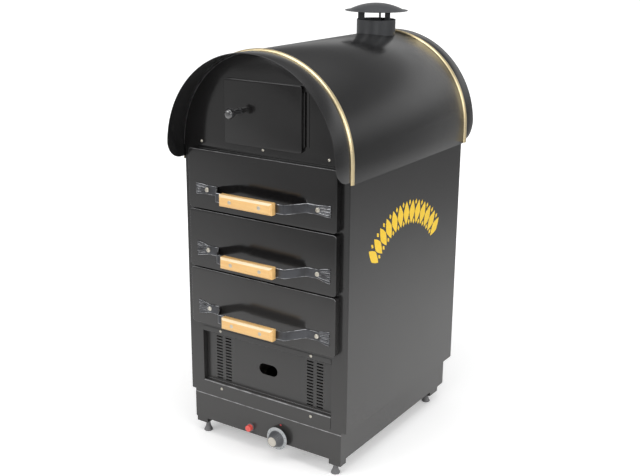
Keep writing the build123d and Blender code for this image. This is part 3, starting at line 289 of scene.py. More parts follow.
def ranged(tree, value, low, high, to_low=0.0, to_high=1.0):
    """A value mapped from one range to another."""
    node = tree.nodes.new("ShaderNodeMapRange")
    tree.links.new(value, node.inputs["Value"])
    labels = "From Min", "From Max", "To Min", "To Max"
    for label, number in zip(labels, (low, high, to_low, to_high)):
        node.inputs[label].default_value = number
    return node.outputs["Result"]


def math(tree, kind, a, b):
    """A Math node on two sockets or numbers."""
    node = tree.nodes.new("ShaderNodeMath")
    node.operation = kind
    feed(tree, node.inputs[0], a)
    feed(tree, node.inputs[1], b)
    return node.outputs[0]


def stretched(tree, vector, factors):
    """A vector multiplied part by part, so that a pattern on it is drawn out along an axis."""
    node = tree.nodes.new("ShaderNodeVectorMath")
    node.operation = "MULTIPLY"
    feed(tree, node.inputs[0], vector)
    feed(tree, node.inputs[1], factors)
    return node.outputs[0]


def parts_of(tree, vector):
    """The outputs X, Y and Z of a vector."""
    node = tree.nodes.new("ShaderNodeSeparateXYZ")
    tree.links.new(vector, node.inputs[0])
    return node.outputs


def blended(tree, factor, a, b, kind="MIX"):
    """Two colours mixed by a factor."""
    node = tree.nodes.new("ShaderNodeMix")
    node.data_type = "RGBA"
    node.blend_type = kind
    for label, value in (("Factor_Float", factor), ("A_Color", a), ("B_Color", b)):
        socket = next(s for s in node.inputs if s.identifier == label)
        feed(tree, socket, (*value, 1.0) if isinstance(value, tuple) else value)
    return next(s for s in node.outputs if s.identifier == "Result_Color")


# %% [markdown]
# ### Powder coat
# Powder coat melts and flows in an oven, and sets with a fine waviness like orange peel. Hands
# and cloths leave wide faint smears that change the gloss. Dust greys it in soft clouds, and the
# colour of the lower parts is greyer, lighter towards the bottom. Marked rounds get a painted
# highlight: pale grey in broken patches.

# %% Powder coat effect
coat_effect, start, end = effect("PowderCoat", [
    ("Colour", "Color", (0.01, 0.01, 0.011, 1)), ("Gloss", "Float", 0.3), ("Smear", "Float", 0.1),
    ("Dust", "Float", 0.1), ("Splash", "Float", 0.0)])
tree, vector = coat_effect, start.outputs["Vector"]
peel = noise(tree, vector, scale=420, detail=2, roughness=0.4)
smears = ranged(tree, noise(tree, vector, scale=7, detail=5, roughness=0.62), 0.4, 0.72)
specks = ranged(tree, noise(tree, vector, scale=260, detail=4, roughness=0.7), 0.66, 0.78)
clouds = noise(tree, vector, scale=3.2, detail=4, roughness=0.6)
dust = math(tree, "MULTIPLY", ranged(tree, clouds, 0.35, 0.8), start.outputs["Dust"])
height = parts_of(tree, vector)["Z"]
uneven = math(tree, "ADD", height, math(tree, "MULTIPLY", clouds, 0.16))
# The colour is greyer low down: lighter towards the bottom, by height.
lower_greying = math(tree, "MULTIPLY", ranged(tree, uneven, 0.70, 0.18), start.outputs["Splash"])
# Painted highlight: marked rounds are painted pale grey, in patches broken up by noise.
highlight_patches = ranged(tree, noise(tree, vector, scale=34, detail=3, roughness=0.6), 0.30, 0.62, 0.25, 1.0)
painted_edge_highlight = math(tree, "MULTIPLY", start.outputs["Highlight_And_Wear"], highlight_patches)
dust_and_lower_greying = math(tree, "ADD", dust, lower_greying)
colour = blended(tree, dust_and_lower_greying, start.outputs["Colour"], (0.17, 0.165, 0.16))
colour = blended(tree, math(tree, "MULTIPLY", specks, 0.08), colour, (0.22, 0.22, 0.22))
tree.links.new(blended(tree, painted_edge_highlight, colour, (0.42, 0.42, 0.43)), end.inputs["Colour"])
dulled = math(tree, "MULTIPLY", smears, start.outputs["Smear"])
rough = math(tree, "ADD", start.outputs["Gloss"], dulled)
rough = math(tree, "ADD", rough, math(tree, "MULTIPLY", peel, 0.04))
tree.links.new(rough, end.inputs["Roughness"])
relief = math(tree, "ADD", peel, math(tree, "MULTIPLY", smears, 0.15))
tree.links.new(relief, end.inputs["Height"])
print("powder coat nodes", len(tree.nodes))

# %% [markdown]
# ### Rolled and worn metal
# Sheet and bar come from rollers with fine lines along their length. Handling polishes some
# patches and stains others. The lines are a noise stretched along one direction. Marked edges get
# bright dashes: partly metal scraped bare, partly a painted highlight where the edges face the
# light.

# %% Worn metal effect
metal_effect, start, end = effect("WornMetal", [
    ("Colour", "Color", (0.5, 0.5, 0.5, 1)), ("Stain", "Color", (0.2, 0.17, 0.14, 1)),
    ("Stretch", "Vector", (1, 12, 12)), ("Gloss", "Float", 0.3), ("Wear", "Float", 0.3)])
tree, vector = metal_effect, start.outputs["Vector"]
drawn_out = stretched(tree, vector, start.outputs["Stretch"])
lines = noise(tree, drawn_out, scale=70, detail=4, roughness=0.6)
stains = ranged(tree, noise(tree, vector, scale=26, detail=5, roughness=0.65), 0.42, 0.7)
soiled = math(tree, "MULTIPLY", stains, start.outputs["Wear"])
base = blended(tree, soiled, start.outputs["Colour"], start.outputs["Stain"])
dashes = ranged(tree, noise(tree, vector, scale=42, detail=3, roughness=0.6), 0.42, 0.54, 0.15, 1.0)
# Bright dashes on marked edges: partly metal scraped bare, partly a painted highlight.
scrape_and_highlight = math(tree, "MULTIPLY", start.outputs["Highlight_And_Wear"], dashes)
tree.links.new(blended(tree, scrape_and_highlight, base, (0.82, 0.83, 0.86)), end.inputs["Colour"])
rough = math(tree, "ADD", start.outputs["Gloss"], math(tree, "MULTIPLY", lines, 0.18))
rough = math(tree, "ADD", rough, math(tree, "MULTIPLY", stains, 0.12))
tree.links.new(rough, end.inputs["Roughness"])
tree.links.new(lines, end.inputs["Height"])
print("worn metal nodes", len(tree.nodes))

# %% [markdown]
# ### Timber
# A grip is sawn along the grain. Growth shows as long soft streaks, with short dark pores
# between them. Both patterns are noise stretched along the grip.

# %% Timber effect
timber_effect, start, end = effect("Timber", [
    ("Early", "Color", (0.8, 0.5, 0.22, 1)), ("Late", "Color", (0.55, 0.28, 0.09, 1)),
    ("Gloss", "Float", 0.35)])
tree, vector = timber_effect, start.outputs["Vector"]
early, late = start.outputs["Early"], start.outputs["Late"]
grain = stretched(tree, vector, (1.0, 16.0, 16.0))
streaks = ranged(tree, noise(tree, grain, scale=11, detail=4, roughness=0.55), 0.36, 0.68)
grain = stretched(tree, vector, (1.0, 14.0, 14.0))
pores = ranged(tree, noise(tree, grain, scale=70, detail=3, roughness=0.6), 0.60, 0.74)
patches = ranged(tree, noise(tree, vector, scale=12, detail=3, roughness=0.5), 0.35, 0.75)
base = blended(tree, math(tree, "MULTIPLY", streaks, 0.55), early, late)
base = blended(tree, math(tree, "MULTIPLY", patches, 0.25), base, late)
base = blended(tree, math(tree, "MULTIPLY", pores, 0.35), base, (0.40, 0.20, 0.06))
# Painted highlight: marked faces are painted paler, in patches.
chamfer_highlight = ranged(tree, patches, 0.0, 1.0, 0.85, 0.55)
chamfer_highlight = math(tree, "MULTIPLY", start.outputs["Highlight_And_Wear"], chamfer_highlight)
tree.links.new(blended(tree, chamfer_highlight, base, (0.97, 0.84, 0.60)), end.inputs["Colour"])
rough = math(tree, "ADD", start.outputs["Gloss"], math(tree, "MULTIPLY", pores, 0.3))
tree.links.new(rough, end.inputs["Roughness"])
tree.links.new(math(tree, "SUBTRACT", streaks, pores), end.inputs["Height"])
print("timber nodes", len(tree.nodes))

# %% [markdown]
# ## Finishes
# Each finish of the record gets one material: an effect group placed between the object's own
# coordinates and a Principled shader. Constant values, such as a coat's thickness, are set on the
# shader itself.

# %% Material makers
finish = {}


def surface(slot, group, bump, distance, shader_values, **group_values):
    """A material whose colour, roughness and bump come from one effect group."""
    material = finish[slot] = bpy.data.materials.new(slot)
    material.use_nodes = True
    tree = material.node_tree
    shader = tree.nodes["Principled BSDF"]
    place = tree.nodes.new("ShaderNodeTexCoord")
    marks = tree.nodes.new("ShaderNodeAttribute")
    marks.attribute_name = "highlight_and_wear"
    node = tree.nodes.new("ShaderNodeGroup")
    node.node_tree = group
    tree.links.new(place.outputs["Object"], node.inputs["Vector"])
    tree.links.new(marks.outputs["Fac"], node.inputs["Highlight_And_Wear"])
    for label, value in group_values.items():
        node.inputs[label].default_value = value
    tree.links.new(node.outputs["Colour"], shader.inputs["Base Color"])
    tree.links.new(node.outputs["Roughness"], shader.inputs["Roughness"])
    relief = tree.nodes.new("ShaderNodeBump")
    relief.inputs["Strength"].default_value = bump
    relief.inputs["Distance"].default_value = distance
    tree.links.new(node.outputs["Height"], relief.inputs["Height"])
    tree.links.new(relief.outputs["Normal"], shader.inputs["Normal"])
    for label, value in shader_values.items():
        shader.inputs[label].default_value = value


def coat(slot, colour, gloss, smear=0.10, dust=0.10, lower_greying=0.0, bump=0.25, **shader_values):
    """A powder-coated or painted finish."""
    surface(slot, coat_effect, bump, 0.0002, shader_values, Colour=(*colour, 1), Gloss=gloss,
            Smear=smear, Dust=dust, Splash=lower_greying)


def metal(slot, colour, stain, gloss, wear=0.3, stretch=(1, 12, 12), metallic=1.0):
    """A bare or plated metal finish."""
    surface(slot, metal_effect, 0.2, 0.0002, {"Metallic": metallic}, Colour=(*colour, 1),
            Stain=(*stain, 1), Stretch=stretch, Gloss=gloss, Wear=wear)


# %% Finishes of every slot
coat("black_coat", (0.0075, 0.0073, 0.0076), 0.15, smear=0.08, dust=0.03, lower_greying=0.22)
# The hood's black is a little lighter than the casing's: painted light, so the hood under the sky
# reads lighter.
coat("hood_coat", (0.0115, 0.0115, 0.0120), 0.16, smear=0.07, dust=0.03)
coat("front_coat", (0.0070, 0.0066, 0.0068), 0.12, smear=0.07, dust=0.03, lower_greying=0.34)
coat("flue_coat", (0.030, 0.033, 0.038), 0.30, smear=0.10, dust=0.20)
metal("bead", (0.88, 0.74, 0.46), (0.62, 0.46, 0.22), 0.20, wear=0.35, stretch=(10, 10, 10))
metal("screw_head", (0.66, 0.63, 0.56), (0.36, 0.33, 0.27), 0.28, wear=0.6)
coat("foot_steel", (0.17, 0.17, 0.175), 0.34, smear=0.15, dust=0.3)
metal("liner_steel", (0.50, 0.49, 0.47), (0.22, 0.17, 0.12), 0.34, wear=0.5, stretch=(12, 1, 12))
metal("tray_steel", (0.42, 0.41, 0.40), (0.16, 0.12, 0.09), 0.36, wear=0.6, stretch=(12, 1, 12))
coat("mineral_wool", (0.42, 0.36, 0.22), 0.9, smear=0.05, dust=0.3, bump=0.9)
metal("burner_steel", (0.30, 0.27, 0.25), (0.10, 0.07, 0.06), 0.45, wear=0.8)
metal("pipe_steel", (0.45, 0.44, 0.42), (0.2, 0.16, 0.12), 0.35, wear=0.4)
metal("inlet_brass", (0.80, 0.58, 0.24), (0.40, 0.26, 0.10), 0.28, wear=0.4)
metal("valve_aluminium", (0.72, 0.72, 0.72), (0.45, 0.44, 0.42), 0.45, stretch=(3, 3, 3))
metal("bulb_copper", (0.85, 0.45, 0.28), (0.35, 0.16, 0.10), 0.32, wear=0.5)
coat("electrode_ceramic", (0.78, 0.76, 0.70), 0.22, dust=0.2)
coat("lead_sleeve", (0.35, 0.03, 0.02), 0.45, dust=0.2)
coat("bezel_grey", (0.16, 0.16, 0.17), 0.38, dust=0.2)
coat("button_red", (0.86, 0.12, 0.10), 0.24, dust=0.05)
coat("hinge_steel", (0.0070, 0.0066, 0.0068), 0.13, smear=0.07, dust=0.03)
coat("magnet", (0.05, 0.045, 0.045), 0.55, dust=0.3)
coat("knob_black", (0.030, 0.030, 0.032), 0.07, smear=0.08, dust=0.04,
     **{"Specular IOR Level": 1.0, "Coat Weight": 1.0, "Coat Roughness": 0.05})
coat("dial_white", (0.47, 0.49, 0.50), 0.30, dust=0.06)
coat("dial_dark", (0.11, 0.115, 0.125), 0.26, smear=0.12, dust=0.15)
metal("dial_disc", (0.58, 0.55, 0.49), (0.42, 0.37, 0.30), 0.30, metallic=0.6)
metal("strap_steel", (0.085, 0.087, 0.094), (0.03, 0.028, 0.026), 0.22, wear=0.5,
      stretch=(1, 10, 10))
surface("grip_wood", timber_effect, 0.35, 0.0003, {"Coat Weight": 0.3, "Coat Roughness": 0.25},
        Early=(0.90, 0.58, 0.235, 1), Late=(0.82, 0.44, 0.14, 1), Gloss=0.40)
coat("sign_yellow", (0.95, 0.62, 0.02), 0.35, dust=0.04)
coat("mark_red", (0.62, 0.05, 0.06), 0.35, dust=0.04)
coat("mark_dark", (0.03, 0.032, 0.036), 0.4, dust=0.04)
print("finishes", len(finish))

# %% Carry the finishes to the plain nodes
slot_of = {entry["node"]: entry["material_slot"] for entry in frame["record"]["subparts"]}
for name, thing in nodes.items():
    thing.data.materials.clear()
    thing.data.materials.append(finish[slot_of[name]])
print("nodes with finishes", len(slot_of))

# %% [markdown]
# ## The barrel hood
# A real hood is rolled from one sheet over the casing and its straight skirts are slid down the
# sides. Here a straight edge is spun half a turn about the hood's axis, its two free ends are
# pulled down as the skirts, and a Solidify modifier gives the sheet its thickness. A visor has
# the lower corners of its free edge cut round.

# %% Hood helper
sheet, visor_corner = 0.002, 0.050
across = 0.3  # past both skirts


def over_arch():
    """Spin what is selected half a turn about the hood's axis."""
    bpy.ops.mesh.spin(steps=72, angle=pi, center=(0, 0, arch_z), axis=(0, 1, 0))


def barrel(name, y0, y1, low, free_edge=None):
    """Arched sheet from y0 to y1, with the lower corners of its free edge rounded."""
    piece = drawn_line(name, [(hood_radius, y0, arch_z), (hood_radius, y1, arch_z)])
    over_arch()
    tidy_shell(piece)
    choose(piece, "EDGE", lambda c, d: near(c.z, arch_z) and not near(d.y, 0))
    extrude((0, 0, low - arch_z))
    tidy_shell(piece)
    top = max(piece.data.polygons, key=lambda p: p.center.z)
    if top.normal.z < 0:
        piece.data.flip_normals()
    apply_modifier(piece, "SOLIDIFY", thickness=sheet, offset=-1.0)
    if free_edge is not None:
        inward = visor_corner if free_edge < y0 + visor_corner else -visor_corner
        outline = [(free_edge + inward * (1 - sin(a)), low + visor_corner * (1 - cos(a)))
                   for a in (pi / 24 * k for k in range(13))]
        beyond, below = free_edge - inward / 5, low - clear
        outline += [(beyond, low + visor_corner), (beyond, below), (free_edge + inward, below)]
        cut(piece, pushed("corner", [(-across, y, z) for y, z in outline], (2 * across, 0, 0)))
    soften(piece, 0.0004, 2, 50)
    return piece


# %% Barrel cover and visors
cover_low, cover_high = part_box("hood_cover")
front_low, front_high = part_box("front_visor")
rear_low, rear_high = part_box("rear_visor")
joint = 0.0001  # what each visor stands clear of the cover
cover = barrel("hood_barrel", cover_low.y, cover_high.y, cover_low.z)
seat(cover, "cabinet", "hood_coat", "hood_cover")
shade = barrel("hood_front_visor", front_low.y, front_high.y - joint, front_low.z, front_low.y)
seat(shade, "cabinet", "hood_coat", "front_visor")
shade = barrel("hood_rear_visor", rear_low.y + joint, rear_high.y, rear_low.z, rear_high.y)
seat(shade, "cabinet", "hood_coat", "rear_visor")

# %% [markdown]
# The joints of the hood are covered by half-round bright trim. A closed D-shaped outline is spun
# along with the arch, its ends are pulled down the skirts, and the ends are filled.

# %% Half-round trim
def trim(name, middle_y, width, height, low):
    """Half-round bead bent over the hood."""
    arc = [(hood_radius + height * sin(a), middle_y - width / 2 * cos(a), arch_z)
           for a in (pi * k / 10 for k in range(11))]
    piece = closed_line(name, arc)
    over_arch()
    tidy_shell(piece)
    choose(piece, "EDGE", lambda c, d: near(c.z, arch_z) and near(d.z, 0))
    extrude((0, 0, low - arch_z))
    for side in (-1, 1):
        choose(piece, "EDGE", lambda c, d: near(c.z, low) and c.x * side > 0)
        bpy.ops.mesh.edge_face_add()
    tidy_shell(piece)
    return piece


bead_low, bead_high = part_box("hood_beads")
bead_width, bead_height = 0.015, bead_high.x - hood_radius
trims = [trim("front", bead_low.y + bead_width / 2, bead_width, bead_height, bead_low.z),
         trim("rear", bead_high.y - bead_width / 2, bead_width, bead_height, bead_low.z)]
seat(joined(trims, "hood_trim"), "cabinet", "bead", "hood_beads", smooth=60)

# %% [markdown]
# ## Folded front sheets
# The half-moon panel fills the arch and has an opening for the compartment. The access panel is one
# sheet folded into a shallow trough: its fold lines are rounded, then louvres and a sight port are
# punched through its web. The plinth's front has a rolled upper edge.

# %% Half-moon panel
arch_low, arch_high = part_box("arch_panel")
rim, rim_bevel = arch_high.x, 0.0013
mouth_side, mouth_low, mouth_high = 0.106, 0.857, 1.005
outline = [(rim * cos(pi * k / 60), arch_z + rim * sin(pi * k / 60)) for k in range(61)]
outline = [(rim, arch_low.z)] + outline + [(-rim, arch_low.z)]
half_moon = pushed("half_moon", [(x, arch_low.y, z) for x, z in outline],
                   (0, arch_high.y - arch_low.y, 0))
choose(half_moon, "EDGE", lambda c, d: near(c.y, arch_low.y))
bpy.ops.mesh.bevel(offset=rim_bevel, segments=3, affect="EDGES")
tidy_shell(half_moon, fine_double)
mouth = new_block("mouth", (-mouth_side, arch_low.y - clear, mouth_low),
                  (mouth_side, arch_high.y + clear, mouth_high))
choose(mouth, "EDGE", lambda c, d: abs(d.y) > clear)
bpy.ops.mesh.bevel(offset=0.004, segments=5, affect="EDGES")
bpy.ops.object.mode_set(mode="OBJECT")
cut(half_moon, mouth)
# Painted highlight: the front round of the rim is painted pale grey, as a thin light line.
mark_highlight_and_wear(half_moon, lambda c, n: hypot(c.x, c.z - arch_z) > rim - rim_bevel
          and -0.97 < n.y < -0.15)
seat(half_moon, "cabinet", "front_coat", "arch_panel")


# %% Burner access panel
def bent_path(corners, radius, steps=5):
    """Points along a path of straight runs, rounded at each inner corner."""
    out = [Vector(corners[0])]
    for before, corner, after in zip(corners, corners[1:], corners[2:]):
        corner = Vector(corner)
        a = (Vector(before) - corner).normalized()
        b = (Vector(after) - corner).normalized()
        turn = a.angle(b)
        reach = radius / abs(sin(turn / 2) / cos(turn / 2))
        centre = corner + (a + b).normalized() * (radius / sin(turn / 2))
        first, last = corner + a * reach - centre, corner + b * reach - centre
        for k in range(steps + 1):
            out.append(centre + first.lerp(last, k / steps).normalized() * radius)
    out.append(Vector(corners[-1]))
    return out


access_low, access_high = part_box("burner_access_panel")
plate, fold_radius, side = 0.0015, 0.0026, access_high.x
bottom_flange, top_flange = 0.032, 0.014
recess_low, recess_high = access_low.z + bottom_flange, access_high.z - top_flange
y_out, y_in = access_low.y + plate / 2, access_high.y - plate / 2
ledge_low, ledge_high = recess_low + plate / 2, recess_high - plate / 2
fold = [(y_out, access_high.z), (y_out, ledge_high), (y_in, ledge_high), (y_in, ledge_low),
        (y_out, ledge_low), (y_out, access_low.z)]
trough = drawn_line("access_trough", bent_path([(-side, y, z) for y, z in fold], fold_radius))
extrude((2 * side, 0, 0))
tidy_shell(trough)
apply_modifier(trough, "SOLIDIFY", thickness=plate, offset=0.0)
tidy_shell(trough)

web_reach = 0.005
slot_half, slot_height, slot_rows = 0.010, 0.004, 16
slot_top, slot_low = recess_high - 0.005, recess_low + 0.0085
slot_pitch = (slot_top - slot_height - slot_low) / (slot_rows - 1)
slot = new_block("slot", (-slot_half, y_in - web_reach, slot_top - slot_height),
                 (slot_half, y_in + web_reach, slot_top))
columns = [hand * (side - inset) for hand in (1, -1) for inset in (0.074, 0.0435)]
punches = [copied(slot, "slot", (x, 0, -row * slot_pitch))
           for row in range(slot_rows) for x in columns]
bpy.data.objects.remove(slot)
port_z, port_end, port_radius = recess_low + 0.075, 0.0145, 0.0155
stadium = [(end + port_radius * cos(radians(a)), port_z + port_radius * sin(radians(a)))
           for end, first in ((port_end, -90), (-port_end, 90))
           for a in (first + 10 * k for k in range(19))]
punches.append(pushed("port", [(x, y_in - web_reach, z) for x, z in stadium],
                      (0, 2 * web_reach, 0)))
cut(trough, joined(punches, "punches"))
# Painted highlight along the upper round of the lower fold: the coat is painted pale grey there.
mark_highlight_and_wear(trough, lambda c, n: 0.75 * (c.z < recess_low + 0.002 and n.y < -0.2 and n.z > 0.2))
seat(trough, "cabinet", "black_coat", "burner_access_panel")

# %% Plinth front
low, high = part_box("control_panel")
plinth_bevel, spindle_hole, button_hole = 0.0017, 0.005, 0.01055
plinth_front = new_block("plinth_front", low, high)
choose(plinth_front, "EDGE", lambda c, d: near(c.y, low.y) and near(c.z, high.z))
bpy.ops.mesh.bevel(offset=plinth_bevel, segments=5, affect="EDGES")
bpy.ops.object.mode_set(mode="OBJECT")
for x, radius in ((dial_x, spindle_hole), (button_x, button_hole)):
    drill = [(0, -clear), (radius, -clear), (radius, clear), (0, clear)]
    cut(plinth_front, turned("hole", drill, (x, face, dial_z), "Y", 32))
# Painted highlight along the rolled upper edge.
mark_highlight_and_wear(plinth_front, lambda c, n: 0.8 * (c.z > high.z - plinth_bevel - 0.0001
                                            and n.y < -0.15 and n.z > 0.15))
seat(plinth_front, "cabinet", "black_coat", "control_panel")

# %% [markdown]
# ## Drawer fronts and the compartment door
# Both are shallow pans: a flat face with its four sides folded back, ground round at the corners.
# A block gets the four edges that run back from its face rounded, then its front rim, and the back
# is hollowed by an inset and an extrusion. The rim's tiny roundness shows as a bright line, and a
# highlight is painted on the upper round of each front, and on the left round of a drawer front.

# %% Pan helper
def pan(name, node, corner, edge, wall):
    """Folded pan the size of a CAD node, open at the back."""
    low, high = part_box(node)
    piece = new_block(name, low, high)
    choose(piece, "EDGE", lambda c, d: abs(d.y) > 0.9 * (high.y - low.y))
    bpy.ops.mesh.bevel(offset=corner, segments=7, affect="EDGES")
    choose(piece, "FACE", lambda c, n: n.y > 0.9)
    bpy.ops.mesh.inset(thickness=wall)
    extrude((0, -(high.y - low.y - wall), 0))
    choose(piece, "EDGE", lambda c, d: near(c.y, low.y))
    bpy.ops.mesh.bevel(offset=edge, segments=4, affect="EDGES")
    tidy_shell(piece, fine_double)
    return piece


def upper_edge(n):
    """Whether a face with this normal is on the round between a front and its upper side."""
    return n.z > 0.3 and -0.95 < n.y < -0.05


# %% Drawer fronts and door
fronts_low = [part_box(f"drawer_{number}_front")[0] for number in (1, 2, 3)]
first_front = pan("drawer_1_pan", "drawer_1_front", corner=0.009, edge=0.0014, wall=0.0015)
# Painted highlight on the upper and left rounds of the drawer fronts.
mark_highlight_and_wear(first_front, lambda c, n: 0.55 * (upper_edge(n) or n.x < -0.5 and -0.9 < n.y < -0.2))
for number in (1, 2, 3):
    front = first_front if number == 1 else copied(
        first_front, f"drawer_{number}_pan", fronts_low[number - 1] - fronts_low[0])
    seat(front, f"drawer_{number}", "front_coat", f"drawer_{number}_front")
door = pan("warmer_door_pan", "warmer_door", corner=0.008, edge=0.0011, wall=0.0012)
# Painted highlight on the door's upper round.
mark_highlight_and_wear(door, lambda c, n: 0.4 * upper_edge(n))
seat(door, "warming_door", "front_coat", "warmer_door")

# %% [markdown]
# ## Handles
# Each handle is one flat bar bent out from the drawer. Its ends lie flat on the front and are slit
# into four tines, spread like a fork. One half is extruded step by step along its path, the last
# steps take only the tines and spread them, and a Mirror modifier makes the other half.

# %% Bent strap
bar_half, bar_sheet, slit = 0.012, 0.003, 0.0016
bar_front, pad_middle = face - 0.0685, face - 0.0195  # the bar's middle, out front and at its ends
bend_start, pad_start, pad_end, bend_radius = 0.105, 0.139, 0.174, 0.009
tine_steps = 0.006, 0.010, 0.011, 0.0075
fan_half = {1: 0.0145, 2: 0.019, 3: 0.019}  # half the height over the tips of the tines


def strap(name, middle, end_half):
    """One handle strap with fanned tines at both ends."""
    tine = (2 * bar_half - 3 * slit) / 4
    heights = [-bar_half]
    for k in range(4):
        heights.append(heights[-1] + tine)
        if k < 3:
            heights.append(heights[-1] + slit)
    path = bent_path([(0, bar_front, 0), (bend_start, bar_front, 0), (pad_start, pad_middle, 0),
                      (pad_end, pad_middle, 0)], bend_radius)
    piece = drawn_line(name, [(path[0].x, path[0].y, middle + h) for h in heights])
    for a, b in zip(path, path[1:]):
        extrude(b - a)
    bpy.ops.object.mode_set(mode="OBJECT")
    slits = [(heights[1 + 2 * k] + heights[2 + 2 * k]) / 2 + middle for k in range(3)]
    choose(piece, "EDGE", lambda c, d: near(c.x, pad_end) and not near(d.z, 0)
           and all(abs(c.z - s) > slit / 2 for s in slits))
    spread = 1.0
    for number, step in enumerate(tine_steps):
        extrude((step, 0, 0))
        grown = 1 + (end_half / bar_half - 1) * min(1.0, (number + 1) / 3.2)
        bpy.ops.transform.resize(value=(1, 1, grown / spread), center_override=(0, 0, middle))
        spread = grown
    bpy.ops.object.mode_set(mode="OBJECT")
    tidy_shell(piece)
    apply_modifier(piece, "MIRROR", use_axis=(True, False, False), merge_threshold=0.0001)
    tidy_shell(piece)
    apply_modifier(piece, "SOLIDIFY", thickness=bar_sheet, offset=0.0)
    soften(piece, 0.0008, 2, 40)
    # Edges marked for bright dashes: wear on all edges, with a painted highlight strongest on the
    # top.
    mark_highlight_and_wear(piece, lambda c, n: (1.0 if n.z > 0.25 and abs(c.x) < 0.15 else 0.75)
              * (abs(n.z) > 0.25 or abs(n.x) > 0.92))
    piece.data.transform(Matrix.Translation((handle_x, 0, 0)))
    return piece


for number in (1, 2, 3):
    bar = strap(f"drawer_{number}_strap", handle_z[number - 1], fan_half[number])
    seat(bar, f"drawer_{number}", "strap_steel", f"drawer_{number}_handle")

# %% [markdown]
# The grips are short hardwood battens. A block's front edges are planed off at 45 degrees, and all
# edges are then broken slightly with glass paper.

# %% Wooden grips
low, high = grip_boxes[0]
planed_width = 0.005
first_grip = new_block("drawer_1_batten", low, high)
choose(first_grip, "EDGE", lambda c, d: near(c.y, low.y))
bpy.ops.mesh.bevel(offset=planed_width, segments=1, affect="EDGES")
bpy.ops.object.mode_set(mode="OBJECT")
soften(first_grip, 0.0009, 3, 20)
# Painted highlight: the upper chamfer, which faces the light, is painted paler.
mark_highlight_and_wear(first_grip, lambda c, n: n.y < -0.3 and n.z > 0.3)
for number in (1, 2, 3):
    grip = first_grip if number == 1 else copied(
        first_grip, f"drawer_{number}_batten", (0, 0, handle_z[number - 1] - handle_z[0]))
    seat(grip, f"drawer_{number}", "grip_wood", f"drawer_{number}_grip")

# %% [markdown]
# ## Screws and bolts
# A pan head is a low dome with a cross-shaped drive. The head is lathe work, and the drive is cut
# out with a Boolean modifier, as a punch would press it in.

# %% Fasteners
def pan_head(name, x, y, z, radius, height):
    """Domed head facing the front, seated at y, with a cross pressed into it."""
    dome = [(0.0, -height), (radius * 0.45, -height * 0.97), (radius * 0.75, -height * 0.84),
            (radius * 0.93, -height * 0.55), (radius, -height * 0.2), (radius, 0), (0.0, 0)]
    piece = turned(name, dome, (x, y, z), "Y", 28)
    arm, depth = radius * 0.5, height * 0.45
    for wide, tall in ((arm, arm * 0.3), (arm * 0.3, arm)):
        cut(piece, new_block("cutter", (x - wide, y - height - 0.001, z - tall),
                             (x + wide, y - height + depth, z + tall)))
    return piece


bolt_reach, screw_reach = 0.1715, 0.045  # from the handle's middle
bolt_seat, grip_front = face - 0.021, grip_boxes[0][0].y
bolt = pan_head("bolt", handle_x + bolt_reach, bolt_seat, handle_z[0], 0.0065, 0.003)
grip_screw = pan_head("grip_screw", handle_x + screw_reach, grip_front, handle_z[0], 0.005, 0.0012)
for number in (1, 2, 3):
    rise = handle_z[number - 1] - handle_z[0]
    heads = []
    for original, apart in ((bolt, bolt_reach), (grip_screw, screw_reach)):
        heads.append(copied(original, "head", (0, 0, rise)))
        heads.append(copied(original, "head", (-2 * apart, 0, rise)))
    seat(joined(heads, f"drawer_{number}_screws"), f"drawer_{number}", "screw_head",
         f"drawer_{number}_fixings")
bpy.data.objects.remove(bolt)
bpy.data.objects.remove(grip_screw)

panel_seat, arch_row, access_rows = face - 0.0015, 0.842, (0.323, 0.152)
seam_x, seam_low, seam_high, seam_rows = 0.24, 0.18, 0.760, 4  # screws down the two rear seams
case_head = pan_head("case_head", 0.0, panel_seat, arch_row, 0.004, 0.002)
places = [(x, arch_row) for x in (-0.196, 0, 0.196)]
places += [(x, z) for z in access_rows for x in (-0.147, 0.147)]
heads = [copied(case_head, "head", (x, 0, z - arch_row)) for x, z in places]
about_face = Matrix.Rotation(pi, 4, "Z")
case_head.data.transform(about_face @ Matrix.Translation((0, -panel_seat, -arch_row)))
for row in range(seam_rows):
    for x in (-seam_x, seam_x):
        z = seam_low + row * (seam_high - seam_low) / (seam_rows - 1)
        heads.append(copied(case_head, "head", (x, panel_high.y, z)))
bpy.data.objects.remove(case_head)
seat(joined(heads, "case_screw_heads"), "cabinet", "screw_head", "case_screws")

# %% [markdown]
# ## Turned parts
# The door's knob, the dial, the spark button, the feet and the flue are all round about an axis.
# Each profile is drawn once with the fine steps that a lathe or a press leaves, and spun.

# %% Knob
knob_place = (-0.064, face - 0.011, 0.934)
knob_profile = [(0.0, 0.0), (0.0100, 0.0), (0.0102, -0.0015), (0.0090, -0.004), (0.0076, -0.012),
                (0.0070, -0.021), (0.0072, -0.0280), (0.0088, -0.0312), (0.0116, -0.0338),
                (0.0131, -0.0362), (0.0135, -0.0390), (0.0133, -0.0422), (0.0125, -0.0453),
                (0.0110, -0.0479), (0.0087, -0.0497), (0.0058, -0.0507), (0.0028, -0.0510),
                (0.0, -0.0510)]
knob = turned("door_knob", knob_profile, knob_place, "Y", 48)
seat(knob, "warming_door", "knob_black", "warmer_door_knob")

# %% Feet
foot_x, foot_depths = 0.214, (0.018, 0.530)
foot_profile = [(0.0, 0.0), (0.0115, 0.0), (0.0125, 0.0010), (0.0125, 0.0028), (0.0116, 0.0050),
                (0.0098, 0.0082), (0.0080, 0.0120), (0.0071, 0.0150), (0.0068, 0.0175),
                (0.0060, 0.0180), (0.0060, 0.0620), (0.0, 0.0620)]
feet = [turned("foot", foot_profile, (x, face + y, 0), "Z", 32)
        for x in (-foot_x, foot_x) for y in foot_depths]
seat(joined(feet, "bell_feet"), "cabinet", "foot_steel", "levelling_feet")

